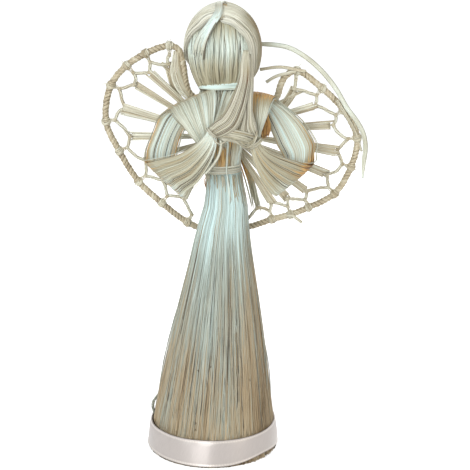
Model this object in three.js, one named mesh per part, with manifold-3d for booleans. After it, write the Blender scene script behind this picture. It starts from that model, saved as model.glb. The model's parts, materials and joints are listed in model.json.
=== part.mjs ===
// Abaca fibre angel ornament: a hollow fibre skirt with a satin hem, a tied bodice, a round head
// under a parted hood of hair, two looped sleeves that meet in praying hands, and two wire-rimmed
// lace wings that bend about the spines tied to the back.
// Millimetres, +Z up, the face looks along -Y, and the figure's own left wing is called right_wing
// because left and right are those of someone who looks at the front.
import * as THREE from "three";
import { mergeVertices } from "three/addons/utils/BufferGeometryUtils.js";
import Module from "manifold-3d";

const wasm = await Module();
wasm.setup();

// Clearances
const GAP = 0.3;

// Skirt, lining and hem ribbon
const SKIRT_HEIGHT = 114;
const SKIRT_BASE_RADIUS = 26.4;
const SKIRT_WALL = 1.5;
const SKIRT_BELL = 0.9;
const SKIRT_LEAN = 4.6;
const LINING_HEIGHT = 92;
const LINING_WALL = 0.6;
const LINING_LIFT = 0.8;
const RIBBON_WIDTH = 10;
const RIBBON_THICKNESS = 0.5;
const RIBBON_LIFT = 1.2;
const RIBBON_OVERLAP_DEGREES = 28;

// Bodice, measured up from the waist
const WAIST_RADIUS = 6.6;
const BODICE_HEIGHT = 32;
const BODICE_TENON_LENGTH = 10;
const BODICE_FLARE_HEIGHT = 13;
const CHEST_HEIGHT = 21;
const SHOULDER_HEIGHT = 27.5;
const SHOULDER_HALF_WIDTH = 9.6;
const CHEST_HALF_DEPTH = 7.6;
const NECK_RADIUS = 9.2;

// Head and hair, measured up from the neck
const HEAD_RADIUS = 12.4;
const HEAD_HEIGHT = 29;
const HEAD_CORE_RADIUS = 9.3;
const HEAD_CORE_LIFT = 15;
const NECK_BORE_RADIUS = 3;
const HAIR_THICKNESS = 2.5;
const HAIR_PARTING = 0.4;
const HAIRLINE_HALF_WIDTH = 10.6;
const HAIRLINE_TOP = 25.5;
const CROWN_TIE_WIDTH = 2.4;
const CROWN_TIE_THICKNESS = 0.7;

// Ties: twine wound round the waist, chest, neck and wrists
const TWINE_RADIUS = 0.5;
const TWINE_PITCH = 1.5;
const WAIST_TURNS = 3;
const CHEST_TURNS = 2;
const NECK_TURNS = 2;
const WRIST_TURNS = 2;
const CHEST_TIE_HEIGHT = 18.8;

// Sleeves and hands
const SLEEVE_THICKNESS = 2.2;
const HAND_THICKNESS = 1.9;

// Wings
const WIRE_RADIUS = 0.6;
const RIM_RADIUS = 1.3;
const SPINE_SPREAD = 2.6;
const SPINE_BOTTOM = -25;
const SPINE_TOP = 25.5;
const SPINE_SEAT_GAP = 0.5;
const RIM_BUTT_GAP = 1;
const ROOT_RADIUS = 2.1;
const ROOT_HEIGHT = 11;
const ROOT_CENTRE = 12.4;
const LACE_RADIUS = 0.45;
const LACE_STEM = 3.6;
const KNOT_GAP = 0.5;
const LACE_INSET = 7.4;
const STRIP_WIDTH = 2.6;
const STRIP_ROOT_WIDTH = 0.8;
const STRIP_THICKNESS = 0.5;
const STRIP_FACE_OFFSET = 0.45;
const CLIMB_REACH = 0.74;
const STRAND_WIDTH = 2;
const STRAND_THICKNESS = 0.6;

// Mesh fineness
const SKIRT_SIDES = 40;
const HEAD_SIDES = 24;
const BODICE_SIDES = 24;
const LOOP_STEPS = 24;
const RIM_STEPS = 52;

// Wing outlines as offsets from the waist, outward and up: from the foot of the spine, through the
// lace knots round the tip, and down to the head of the spine. The pair was bent by hand, so the
// two differ.
const LEFT_OUTLINE = {
  foot: [[8.6, -26.2]],
  knots: [
    [14.7, -23.7], [25.1, -15.4], [34.2, -6.4], [41.5, 6], [46.4, 18.2],
    [43.9, 32.6], [37.5, 40.2], [30, 44.9], [20.7, 47.9],
  ],
  head: [[17.1, 46.2], [13.5, 30], [9.6, 26.6]],
};
const RIGHT_OUTLINE = {
  foot: [[11, -25.4]],
  knots: [
    [19.8, -22.4], [27.3, -20.4], [34.6, -17.4], [44.9, -11.6], [51.2, -0.5],
    [53.3, 11.5], [47.5, 22.7], [39, 31.2], [28.9, 38.1],
  ],
  head: [[24.6, 36.2], [22.4, 32], [21, 27.6], [16.6, 25.8]],
};

// Sleeve stations from the wrist over the shoulder, round the elbow and back to the wrist, measured
// from the middle of the neck: place, direction from the outer edge to the inner edge, and width.
const LEFT_SLEEVE = [
  { at: [-4.2, -12, -15.5], across: [0.87, 0, 0.49], width: 7 },
  { at: [-7, -13, -9.6], across: [0.87, -0.1, 0.47], width: 14.5 },
  { at: [-11.2, -9.9, -6.7], across: [0.85, -0.43, 0.3], width: 16.5 },
  { at: [-18, -3, -8], across: [0.85, -0.35, 0.35], width: 13 },
  { at: [-23, -2.2, -16], across: [0.95, -0.25, 0.15], width: 14 },
  { at: [-24.8, -5.2, -27], across: [0.8, -0.1, -0.55], width: 17 },
  { at: [-23.5, -9.5, -33.5], across: [0.72, 0, -0.69], width: 19 },
  { at: [-19.5, -13.5, -30], across: [0.7, 0, -0.71], width: 18 },
  { at: [-12, -16.4, -22.5], across: [0.68, 0, -0.73], width: 13 },
  { at: [-4.5, -18, -14.5], across: [0.66, 0, -0.75], width: 6.5 },
];
const RIGHT_SLEEVE = [
  { at: [11.5, -11.5, -15], across: [-0.87, 0, 0.3], width: 4 },
  { at: [14.8, -12, -8.6], across: [-1, -0.1, 0.1], width: 8 },
  { at: [15.6, -7.4, -4.4], across: [-0.85, -0.4, 0.4], width: 11.5 },
  { at: [20, -1.6, -7.6], across: [-0.85, -0.3, 0.4], width: 13 },
  { at: [27, -2.2, -15.5], across: [-0.97, -0.1, -0.2], width: 13.5 },
  { at: [30.5, -5.2, -26], across: [-0.8, -0.1, -0.55], width: 17 },
  { at: [29, -9.5, -32.5], across: [-0.7, 0, -0.71], width: 21 },
  { at: [24.5, -13.5, -30.5], across: [-0.65, 0, -0.76], width: 18 },
  { at: [18, -16.4, -25.5], across: [-0.62, 0, -0.78], width: 12 },
  { at: [12.5, -18, -19.5], across: [-0.6, 0, -0.8], width: 6 },
];
// Hand stations from the wrist to the fingertips, measured the same way
const LEFT_HAND = [
  { at: [-4, -18.2, -14], across: [0.66, 0, -0.75], width: 6 },
  { at: [1.6, -20.2, -10.4], across: [0.9, 0, -0.4], width: 6 },
  { at: [5.2, -21.4, -1], across: [1, 0, -0.2], width: 5.2 },
  { at: [8, -21.6, 9], across: [1, 0, -0.1], width: 4.4 },
  { at: [9, -21.4, 16.5], across: [1, 0, 0], width: 2.2 },
];
const RIGHT_HAND = [
  { at: [12, -18.3, -18.6], across: [-0.6, 0, -0.8], width: 5 },
  { at: [9.4, -18.3, -12.5], across: [-1, 0, -0.3], width: 5 },
  { at: [9.6, -18.2, -3], across: [-1, 0, 0], width: 4.6 },
  { at: [11, -18.4, 6], across: [-1, 0, 0], width: 4 },
  { at: [11, -18.2, 14.5], across: [-1, 0, 0], width: 2 },
];
const WRIST_TIE_HEIGHT = -9.4;

// The loose strand leaves the nape, arches over the right wing, is caught by a knot of its rim and
// hangs past it. Offsets from the waist.
const STRAND_ROUTE = [
  [9.5, 14.5, 48], [15.4, 14.4, 47.9], [20, 13.6, 47.7], [26, 12.4, 46.6], [32.6, 11.2, 43],
  [38.8, 9.8, 37.7], [44, 7.6, 31.4], [48.5, 5.2, 23.9], [53, 6.4, 17.9], [55.6, 7.6, 13],
  [56.6, 8.4, 7.6], [56.2, 9, 2], [56, 9.6, -5],
];

// Colours of the fibre, satin and wire
const PALE_FIBRE = 0xd9d3bd;
const TAN_FIBRE = 0xc3b08a;
const HONEY_FIBRE = 0xcda66b;
const SATIN = 0xded2cc;
const WIRE = 0x8c8880;
const PAPER = 0xcbbf9f;

function material(color, roughness, metalness = 0) {
  return new THREE.MeshStandardMaterial({ color, roughness, metalness });
}

const paleFibre = material(PALE_FIBRE, 0.5);
const tanFibre = material(TAN_FIBRE, 0.6);
const honeyFibre = material(HONEY_FIBRE, 0.55);
const satin = material(SATIN, 0.3);
const wireMetal = material(WIRE, 0.45, 1);
const paper = material(PAPER, 0.8);

// Basic solids

const vector = (x, y, z) => new THREE.Vector3(x, y, z);

// A geometry with only merged positions, its faces turned outwards.
function closed(geometry) {
  const bare = geometry.clone();
  bare.deleteAttribute("normal");
  bare.deleteAttribute("uv");
  const merged = mergeVertices(bare, 1e-4);
  const corners = merged.index.array;
  const spots = merged.getAttribute("position");
  const [a, b, c] = [vector(), vector(), vector()];
  let volume = 0;
  for (let i = 0; i < corners.length; i += 3) {
    a.fromBufferAttribute(spots, corners[i]);
    b.fromBufferAttribute(spots, corners[i + 1]);
    c.fromBufferAttribute(spots, corners[i + 2]);
    volume += a.dot(b.cross(c));
  }
  if (volume < 0) corners.reverse();
  return merged;
}

function toSolid(geometry) {
  const merged = closed(geometry);
  return new wasm.Manifold(
    new wasm.Mesh({
      numProp: 3,
      vertProperties: new Float32Array(merged.getAttribute("position").array),
      triVerts: new Uint32Array(merged.index.array),
    }),
  );
}

function toGeometry(solid) {
  const mesh = solid.getMesh();
  return new THREE.BufferGeometry()
    .setAttribute("position", new THREE.BufferAttribute(mesh.vertProperties, 3))
    .setIndex(new THREE.BufferAttribute(mesh.triVerts, 1));
}

// A solid through a row of rings with equal counts of points, capped at both ends.
function loft(rings) {
  const count = rings[0].length;
  const index = [];
  for (let row = 0; row + 1 < rings.length; row++) {
    for (let i = 0; i < count; i++) {
      const a = row * count + i;
      const b = row * count + ((i + 1) % count);
      index.push(a, b, b + count, a, b + count, a + count);
    }
  }
  const last = (rings.length - 1) * count;
  for (let i = 1; i + 1 < count; i++) {
    index.push(0, i + 1, i, last, last + i, last + i + 1);
  }
  const positions = rings.flat().flatMap((point) => point.toArray());
  return closed(
    new THREE.BufferGeometry()
      .setAttribute("position", new THREE.Float32BufferAttribute(positions, 3))
      .setIndex(index),
  );
}

function polygon(radius, sides, squash = 1) {
  return Array.from({ length: sides }, (_, i) => {
    const turn = (2 * Math.PI * i) / sides;
    return new THREE.Vector2(radius * Math.cos(turn), radius * squash * Math.sin(turn));
  });
}

// A section swept along a curve, with an optional bore.
function sweep(curve, section, steps, bore) {
  const shape = new THREE.Shape(section);
  if (bore) shape.holes.push(new THREE.Path(bore));
  return closed(
    new THREE.ExtrudeGeometry(shape, { steps, extrudePath: curve, bevelEnabled: false }),
  );
}

// A flat band of fibre through stations. Its section is a long hexagon.
function band(stations, thickness, steps) {
  const centres = new THREE.CatmullRomCurve3(stations.map((s) => vector(...s.at)), false, "catmullrom");
  const edges = new THREE.CatmullRomCurve3(stations.map((s) => vector(...s.across)), false, "catmullrom");
  const widths = new THREE.CatmullRomCurve3(stations.map((s) => vector(s.width, 0, 0)), false, "catmullrom");
  const edgeShare = 0.8;
  const rings = Array.from({ length: steps + 1 }, (_, i) => {
    const t = i / steps;
    const centre = centres.getPoint(t);
    const along = centres.getTangent(t);
    const across = edges.getPoint(t).projectOnPlane(along).normalize();
    const out = along.clone().cross(across);
    const half = widths.getPoint(t).x / 2;
    return [[1, 0], [edgeShare, 1], [-edgeShare, 1], [-1, 0], [-edgeShare, -1], [edgeShare, -1]].map(
      ([u, v]) =>
        centre.clone().addScaledVector(across, u * half).addScaledVector(out, (v * thickness) / 2),
    );
  });
  return loft(rings);
}

// Points spaced evenly round the tightest belt that goes over all the given ovals.
function belt(ovals, count) {
  const samples = 48;
  const points = ovals
    .flatMap((o) =>
      Array.from({ length: samples }, (_, i) => {
        const turn = (2 * Math.PI * i) / samples;
        return new THREE.Vector2(o.x + o.rx * Math.cos(turn), o.y + o.ry * Math.sin(turn));
      }),
    )
    .sort((p, q) => p.x - q.x || p.y - q.y);
  const turnsLeft = (o, a, b) => (a.x - o.x) * (b.y - o.y) - (a.y - o.y) * (b.x - o.x) > 0;
  const chain = (list) => {
    const kept = [];
    for (const p of list) {
      while (kept.length > 1 && !turnsLeft(kept.at(-2), kept.at(-1), p)) kept.pop();
      kept.push(p);
    }
    return kept.slice(0, -1);
  };
  const hull = [...chain(points), ...chain(points.slice().reverse())];
  const ring = new THREE.CurvePath();
  hull.forEach((p, i) => ring.add(new THREE.LineCurve(p, hull[(i + 1) % hull.length])));
  return Array.from({ length: count }, (_, i) => ring.getPointAt(i / count));
}

// One unbroken length of twine wound over the ovals, upwards from the given height.
function winding(name, ovals, bottom, turns) {
  const lift = GAP + TWINE_RADIUS;
  const loop = belt(ovals.map((o) => ({ ...o, rx: o.rx + lift, ry: o.ry + lift })), LOOP_STEPS);
  const steps = turns * LOOP_STEPS;
  const points = Array.from({ length: steps + 1 }, (_, i) => {
    const p = loop[i % LOOP_STEPS];
    return vector(p.x, p.y, bottom + TWINE_RADIUS + (TWINE_PITCH * i) / LOOP_STEPS);
  });
  let least = Infinity;
  points.forEach((p, i) =>
    points.slice(i + LOOP_STEPS / 2).forEach((q) => {
      least = Math.min(least, p.distanceTo(q));
    }),
  );
  console.log(`${name}: least gap to itself ${(least - 2 * TWINE_RADIUS).toFixed(2)} mm`);
  return sweep(new THREE.CatmullRomCurve3(points), polygon(TWINE_RADIUS, 6), steps);
}

const windingHeight = (turns) => turns * TWINE_PITCH + 2 * TWINE_RADIUS;

function add(parent, name, geometry, look) {
  const mesh = new THREE.Mesh(geometry, look);
  mesh.name = name;
  parent.add(mesh);
  return mesh;
}

// Skirt

function skirtRadius(z) {
  const share = z / SKIRT_HEIGHT;
  const bow = 6.75 * share * (1 - share) ** 2;
  return SKIRT_BASE_RADIUS + (WAIST_RADIUS - SKIRT_BASE_RADIUS) * share + SKIRT_BELL * bow;
}

const leanAt = (z) => (SKIRT_LEAN * z) / SKIRT_HEIGHT;

// A thin cone wall between two heights, inset from the skirt's outer face, leaning as the skirt does.
function coneWall(low, high, inset, wall, rows) {
  const outer = [];
  const inner = [];
  for (let i = 0; i <= rows; i++) {
    const z = low + ((high - low) * i) / rows;
    outer.push(new THREE.Vector2(skirtRadius(z) - inset, z));
    inner.unshift(new THREE.Vector2(skirtRadius(z) - inset - wall, z));
  }
  const lathe = new THREE.LatheGeometry([...outer, ...inner, outer[0]], SKIRT_SIDES);
  lathe.rotateX(Math.PI / 2);
  const lean = new THREE.Matrix4().set(
    1, 0, SKIRT_LEAN / SKIRT_HEIGHT, 0,
    0, 1, 0, 0,
    0, 0, 1, 0,
    0, 0, 0, 1,
  );
  return closed(lathe.applyMatrix4(lean));
}

// The ribbon starts behind, goes once round the hem and laps over its own start.
function ribbonStrip() {
  const lap = THREE.MathUtils.degToRad(RIBBON_OVERLAP_DEGREES);
  const whole = 2 * Math.PI + lap;
  const steps = SKIRT_SIDES + 6;
  const start = Math.PI / 2 - lap / 2;
  const low = RIBBON_LIFT;
  const high = RIBBON_LIFT + RIBBON_WIDTH;
  const rings = Array.from({ length: steps + 1 }, (_, i) => {
    const swept = (whole * i) / steps;
    const climb = THREE.MathUtils.smoothstep(swept, 2 * Math.PI - lap, 2 * Math.PI);
    const lift = GAP + climb * (RIBBON_THICKNESS + GAP);
    const turn = start + swept;
    const spot = (z, depth) => {
      const radius = (skirtRadius(z) + lift + depth) / Math.cos(whole / steps / 2);
      return vector(leanAt(z) + radius * Math.cos(turn), radius * Math.sin(turn), z);
    };
    return [spot(low, 0), spot(low, RIBBON_THICKNESS), spot(high, RIBBON_THICKNESS), spot(high, 0)];
  });
  return loft(rings);
}

function makeSkirt(figure) {
  add(figure, "skirt", coneWall(0, SKIRT_HEIGHT, 0, SKIRT_WALL, 6), paleFibre);
  const lining = coneWall(LINING_LIFT, LINING_HEIGHT, SKIRT_WALL + GAP, LINING_WALL, 3);
  add(figure, "skirt_lining", lining, paper);
  add(figure, "hem_ribbon", ribbonStrip(), satin);
}

// Bodice: a bundle whose lower end is a tenon inside the skirt's neck. Heights from the waist.
function bodiceOvals() {
  const tenon = WAIST_RADIUS - SKIRT_WALL - GAP;
  const blend = (share) => ({
    rx: THREE.MathUtils.lerp(WAIST_RADIUS, SHOULDER_HALF_WIDTH, share),
    ry: THREE.MathUtils.lerp(WAIST_RADIUS, CHEST_HALF_DEPTH, share),
  });
  return [
    { z: -BODICE_TENON_LENGTH, rx: tenon, ry: tenon },
    { z: GAP, rx: tenon, ry: tenon },
    { z: GAP, rx: WAIST_RADIUS, ry: WAIST_RADIUS },
    { z: windingHeight(WAIST_TURNS), rx: WAIST_RADIUS, ry: WAIST_RADIUS },
    { z: BODICE_FLARE_HEIGHT, ...blend(0.6) },
    { z: CHEST_HEIGHT, ...blend(1) },
    { z: SHOULDER_HEIGHT, ...blend(1) },
    { z: BODICE_HEIGHT, rx: NECK_RADIUS, ry: NECK_RADIUS },
  ];
}

function bodiceOvalAt(z) {
  const ovals = bodiceOvals();
  const upper = ovals.findIndex((o) => o.z > z);
  const [a, b] = [ovals[upper - 1], ovals[upper]];
  const share = (z - a.z) / (b.z - a.z);
  return {
    x: 0,
    y: 0,
    rx: THREE.MathUtils.lerp(a.rx, b.rx, share),
    ry: THREE.MathUtils.lerp(a.ry, b.ry, share),
  };
}

function makeBodice(upper) {
  const rings = bodiceOvals().map((o) =>
    polygon(1, BODICE_SIDES).map((p) => vector(p.x * o.rx, p.y * o.ry, o.z)),
  );
  add(upper, "bodice", loft(rings), tanFibre);
}

// Head, core and hair. Heights from the neck.
function headProfile(extra) {
  const cheek = HEAD_RADIUS + extra;
  const crown = HEAD_HEIGHT + extra;
  const widest = HEAD_CORE_LIFT;
  const stub = windingHeight(NECK_TURNS);
  const points = [
    new THREE.Vector2(NECK_RADIUS + extra, GAP),
    new THREE.Vector2(NECK_RADIUS + extra, stub),
  ];
  const side = 4;
  for (let i = 1; i < side; i++) {
    const share = Math.sin((Math.PI / 2) * (i / side));
    points.push(
      new THREE.Vector2(
        THREE.MathUtils.lerp(NECK_RADIUS + extra, cheek, share),
        THREE.MathUtils.lerp(stub, widest, i / side),
      ),
    );
  }
  const dome = 6;
  for (let i = 0; i < dome; i++) {
    const turn = (Math.PI / 2) * (i / dome);
    points.push(
      new THREE.Vector2(cheek * Math.cos(turn), widest + (crown - widest) * Math.sin(turn)),
    );
  }
  return [...points, new THREE.Vector2(0, crown)];
}

function spin(profile, sides) {
  const lathe = new THREE.LatheGeometry(profile, sides);
  lathe.rotateX(Math.PI / 2);
  return closed(lathe);
}

function makeHead(neck) {
  const hollow = HEAD_CORE_RADIUS + 2 * GAP;
  const throat = Math.asin(NECK_BORE_RADIUS / hollow);
  const cavity = [];
  const rows = 6;
  for (let i = 0; i <= rows; i++) {
    const turn = throat + ((Math.PI - throat) * i) / rows;
    const radius = i === rows ? 0 : hollow * Math.sin(turn);
    cavity.push(new THREE.Vector2(radius, HEAD_CORE_LIFT - hollow * Math.cos(turn)));
  }
  const bore = new THREE.Vector2(NECK_BORE_RADIUS, GAP);
  const shell = spin([...headProfile(0).reverse(), bore, ...cavity], HEAD_SIDES);
  add(neck, "head_wrap", shell, paleFibre);
  const core = new THREE.SphereGeometry(HEAD_CORE_RADIUS, 16, 10);
  core.translate(0, 0, HEAD_CORE_LIFT);
  add(neck, "head_core", closed(core), paper);
}

// The hood is a shell over the head with an open face, parted in the middle.
function makeHair(neck) {
  const axis = (profile) => [new THREE.Vector2(0, profile[0].y), ...profile];
  const outer = toSolid(spin(axis(headProfile(GAP + HAIR_THICKNESS)), HEAD_SIDES));
  const inner = toSolid(spin(axis(headProfile(GAP)), HEAD_SIDES));
  const reach = 3 * HEAD_RADIUS;
  const face = new THREE.Shape();
  face.moveTo(0, HAIRLINE_TOP);
  face.quadraticCurveTo(HAIRLINE_HALF_WIDTH, HAIRLINE_TOP - 2, HAIRLINE_HALF_WIDTH, HEAD_CORE_LIFT);
  face.lineTo(HAIRLINE_HALF_WIDTH - 1.5, -GAP);
  face.lineTo(1.5 - HAIRLINE_HALF_WIDTH, -GAP);
  face.lineTo(-HAIRLINE_HALF_WIDTH, HEAD_CORE_LIFT);
  face.quadraticCurveTo(-HAIRLINE_HALF_WIDTH, HAIRLINE_TOP - 2, 0, HAIRLINE_TOP);
  const window = new THREE.ExtrudeGeometry(face, { depth: reach, bevelEnabled: false, curveSegments: 5 });
  window.rotateX(Math.PI / 2);
  const hem = windingHeight(NECK_TURNS) + GAP;
  const below = new THREE.BoxGeometry(2 * reach, 2 * reach, 2 * hem);
  const hood = outer.subtract(inner).subtract(toSolid(window)).subtract(toSolid(below));
  [["hair_left", 1], ["hair_right", -1]].forEach(([name, side]) => {
    const otherHalf = new THREE.BoxGeometry(2 * reach, 2 * reach, 4 * reach);
    otherHalf.translate(side * (reach - HAIR_PARTING / 2), 0, 0);
    add(neck, name, toGeometry(hood.subtract(toSolid(otherHalf))), paleFibre);
  });
}

// A strip over the crown along the parting, from the hairline to the back of the head.
function makeCrownTie(neck) {
  const lift = GAP + HAIR_THICKNESS + GAP;
  const steps = 10;
  const from = THREE.MathUtils.degToRad(42);
  const to = THREE.MathUtils.degToRad(145);
  const rings = Array.from({ length: steps + 1 }, (_, i) => {
    const turn = from + ((to - from) * i) / steps;
    const spot = (x, depth) => {
      const reach = lift + depth;
      return vector(
        x,
        -(HEAD_RADIUS + reach) * Math.cos(turn),
        HEAD_CORE_LIFT + (HEAD_HEIGHT - HEAD_CORE_LIFT + reach) * Math.sin(turn),
      );
    };
    const half = CROWN_TIE_WIDTH / 2;
    const top = CROWN_TIE_THICKNESS;
    return [spot(-half, 0), spot(half, 0), spot(half, top), spot(-half, top)];
  });
  add(neck, "crown_tie", loft(rings), paleFibre);
}

// Sleeves, hands and the tie that joins the wrists. Heights from the neck.
function ovalOfHand(stations, height) {
  const upper = stations.findIndex((s) => s.at[2] > height);
  const [a, b] = [stations[upper - 1], stations[upper]];
  const share = (height - a.at[2]) / (b.at[2] - a.at[2]);
  const mix = (p, q) => THREE.MathUtils.lerp(p, q, share);
  return {
    x: mix(a.at[0], b.at[0]),
    y: mix(a.at[1], b.at[1]),
    rx: mix(a.width, b.width) / 2 + 2 * GAP,
    ry: HAND_THICKNESS / 2 + 4 * GAP,
  };
}

function makeArms(neck) {
  const sleeveSteps = 30;
  const handSteps = 12;
  add(neck, "left_sleeve", band(LEFT_SLEEVE, SLEEVE_THICKNESS, sleeveSteps), paleFibre);
  add(neck, "right_sleeve", band(RIGHT_SLEEVE, SLEEVE_THICKNESS, sleeveSteps), honeyFibre);
  add(neck, "left_hand", band(LEFT_HAND, HAND_THICKNESS, handSteps), paleFibre);
  add(neck, "right_hand", band(RIGHT_HAND, HAND_THICKNESS, handSteps), paleFibre);
  const wrists = [LEFT_HAND, RIGHT_HAND].map((hand) => ovalOfHand(hand, WRIST_TIE_HEIGHT));
  add(neck, "wrist_tie", winding("wrist_tie", wrists, WRIST_TIE_HEIGHT, WRIST_TURNS), honeyFibre);
}

// Wings. The spine lies behind the waist and rests on the skirt below and on the shoulders above.
function behind(oval) {
  const share = SPINE_SPREAD / oval.rx;
  return oval.ry * Math.sqrt(1 - share ** 2) + SPINE_SEAT_GAP + RIM_RADIUS;
}

const skirtZ = SKIRT_HEIGHT + SPINE_BOTTOM;
const skirtOval = { rx: skirtRadius(skirtZ), ry: skirtRadius(skirtZ) };
const spineLow = vector(0, behind(skirtOval), SPINE_BOTTOM);
const spineHigh = vector(0, behind(bodiceOvalAt(SPINE_TOP)), SPINE_TOP);
const spineTilt = Math.atan2(spineLow.y - spineHigh.y, spineHigh.z - spineLow.z);

const spineAt = (z) => spineLow.y - (z - spineLow.z) * Math.tan(spineTilt);

// A wing's own frame: X outwards from the spine, Z up along it, the origin at the waist's height.
const inWing = ([x, z], side) => vector(side * (x - SPINE_SPREAD), 0, z);

function rimCurve(outline, side) {
  const half = RIM_BUTT_GAP / 2;
  const spineFoot = [
    vector(0, 0, ROOT_CENTRE - half),
    vector(0, 0, 0),
    vector(0, 0, SPINE_BOTTOM + 8),
    vector(0, 0, SPINE_BOTTOM + 2.6),
    vector(side * 1.6, 0, SPINE_BOTTOM - 0.6),
  ];
  const spineHead = [
    vector(side * 2.6, 0, SPINE_TOP),
    vector(0, 0, SPINE_TOP - 3),
    vector(0, 0, ROOT_CENTRE + half),
  ];
  const round = [...outline.foot, ...outline.knots, ...outline.head].map((p) => inWing(p, side));
  return {
    curve: new THREE.CatmullRomCurve3([...spineFoot, ...round, ...spineHead], false, "centripetal"),
    firstKnot: spineFoot.length + outline.foot.length,
    count: spineFoot.length + round.length + spineHead.length,
  };
}

// Lace: a knot round the rim at each place, a stem from it, and a zigzag of threads whose inner
// corners hold the strips.
function lacePlan(rim, knots) {
  const root = vector(0, 0, ROOT_CENTRE);
  const towards = (point, depth) =>
    point.clone().addScaledVector(root.clone().sub(point).normalize(), depth);
  const share = (i) => (rim.firstKnot + i) / (rim.count - 1);
  const corners = knots.slice(1).map((_, i) => towards(rim.curve.getPoint(share(i + 0.5)), LACE_INSET));
  const ties = knots.map((_, i) => {
    const place = rim.curve.getPoint(share(i));
    const along = rim.curve.getTangent(share(i));
    const inward = root.clone().sub(place).projectOnPlane(along).normalize();
    return { place, along, inward, stem: place.clone().addScaledVector(inward, LACE_STEM) };
  });
  return { ties, corners };
}

function thread(from, to) {
  const reach = LACE_RADIUS / 2;
  const along = to.clone().sub(from).normalize();
  const a = from.clone().addScaledVector(along, -reach);
  const b = to.clone().addScaledVector(along, reach);
  return toSolid(sweep(new THREE.LineCurve3(a, b), polygon(LACE_RADIUS, 4), 1));
}

function laceSolid(plan) {
  const knotSides = 8;
  const girth = (RIM_RADIUS + KNOT_GAP) / Math.cos(Math.PI / knotSides) + LACE_RADIUS;
  let lace = null;
  const join = (solid) => {
    lace = lace ? lace.add(solid) : solid;
  };
  plan.ties.forEach(({ place, along, inward, stem }) => {
    const ring = new THREE.TorusGeometry(girth, LACE_RADIUS, 4, knotSides);
    const turn = new THREE.Quaternion().setFromUnitVectors(vector(0, 0, 1), along);
    ring.applyQuaternion(turn).translate(...place.toArray());
    join(toSolid(ring));
    join(thread(place.clone().addScaledVector(inward, girth), stem));
  });
  plan.corners.forEach((corner, i) => {
    join(thread(plan.ties[i].stem, corner));
    join(thread(corner, plan.ties[i + 1].stem));
  });
  return toGeometry(lace);
}

// A flat strip from a corner of the lace to the gathered root, wide outside and narrow at the root.
// Neighbours lie on opposite faces of the wing. The top one leaves the root level and then climbs,
// clear of the rim's inner end.
function stripSolid(corner, height, side, face, climbs) {
  const start = vector(side * (ROOT_RADIUS + GAP), face * STRIP_FACE_OFFSET, height);
  const inward = start.clone().sub(corner).normalize();
  const end = corner.clone().addScaledVector(inward, LACE_RADIUS + 2 * GAP);
  end.y = start.y;
  const run = end.clone().sub(start);
  const bend = start.clone();
  bend.x += run.x * (climbs ? CLIMB_REACH : 0.5);
  bend.z += run.z * (climbs ? 0 : 0.5);
  const curve = new THREE.QuadraticBezierCurve3(start, bend, end);
  const steps = climbs ? 8 : 1;
  const rings = Array.from({ length: steps + 1 }, (_, i) => {
    const t = i / steps;
    const at = curve.getPoint(t);
    const across = curve.getTangent(t).cross(vector(0, 1, 0));
    const half = THREE.MathUtils.lerp(STRIP_ROOT_WIDTH, STRIP_WIDTH, t) / 2;
    return [[1, 1], [-1, 1], [-1, -1], [1, -1]].map(([u, v]) =>
      at.clone().addScaledVector(across, u * half).add(vector(0, (v * STRIP_THICKNESS) / 2, 0)),
    );
  });
  return loft(rings);
}

function rootSolid() {
  const bore = RIM_RADIUS + GAP;
  const low = ROOT_CENTRE - ROOT_HEIGHT / 2;
  const high = ROOT_CENTRE + ROOT_HEIGHT / 2;
  const profile = [[bore, low], [ROOT_RADIUS, low], [ROOT_RADIUS, high], [bore, high], [bore, low]];
  return spin(profile.map(([r, z]) => new THREE.Vector2(r, z)), 12);
}

function makeWing(upper, name, side, outline) {
  const wing = new THREE.Group();
  wing.position.set(side * SPINE_SPREAD, spineAt(0), 0);
  wing.rotation.x = spineTilt;
  upper.add(wing);
  const rim = rimCurve(outline, side);
  const boreSides = 5;
  const bore = polygon((WIRE_RADIUS + GAP) / Math.cos(Math.PI / boreSides), boreSides);
  add(wing, `${name}_rim`, sweep(rim.curve, polygon(RIM_RADIUS, 7), RIM_STEPS, bore), tanFibre);
  add(wing, `${name}_wire`, sweep(rim.curve, polygon(WIRE_RADIUS, 5), RIM_STEPS), wireMetal);
  add(wing, `${name}_root`, rootSolid(), honeyFibre);
  const plan = lacePlan(rim, outline.knots);
  add(wing, `${name}_lace`, laceSolid(plan), paleFibre);
  const last = plan.corners.length - 1;
  plan.corners.forEach((corner, i) => {
    const height = ROOT_CENTRE + (i / last - 0.5) * (ROOT_HEIGHT - STRIP_WIDTH);
    const climbs = i === last;
    const face = climbs ? 3 : i % 2 ? 1 : -1;
    const strip = stripSolid(corner, height, side, face, climbs);
    add(wing, `${name}_strip_${i + 1}`, strip, tanFibre);
  });
}

function makeStrand(upper) {
  const route = new THREE.CatmullRomCurve3(STRAND_ROUTE.map((p) => vector(...p)));
  const section = polygon(STRAND_THICKNESS / 2, 8, STRAND_WIDTH / STRAND_THICKNESS);
  return add(upper, "loose_strand", sweep(route, section, 26), paleFibre);
}

// The figure. The upper body stands on the leaning skirt's neck.
const ornament = new THREE.Group();
makeSkirt(ornament);
const upper = new THREE.Group();
upper.position.set(SKIRT_LEAN, 0, SKIRT_HEIGHT);
ornament.add(upper);
const neck = new THREE.Group();
neck.position.z = BODICE_HEIGHT;
upper.add(neck);

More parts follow.
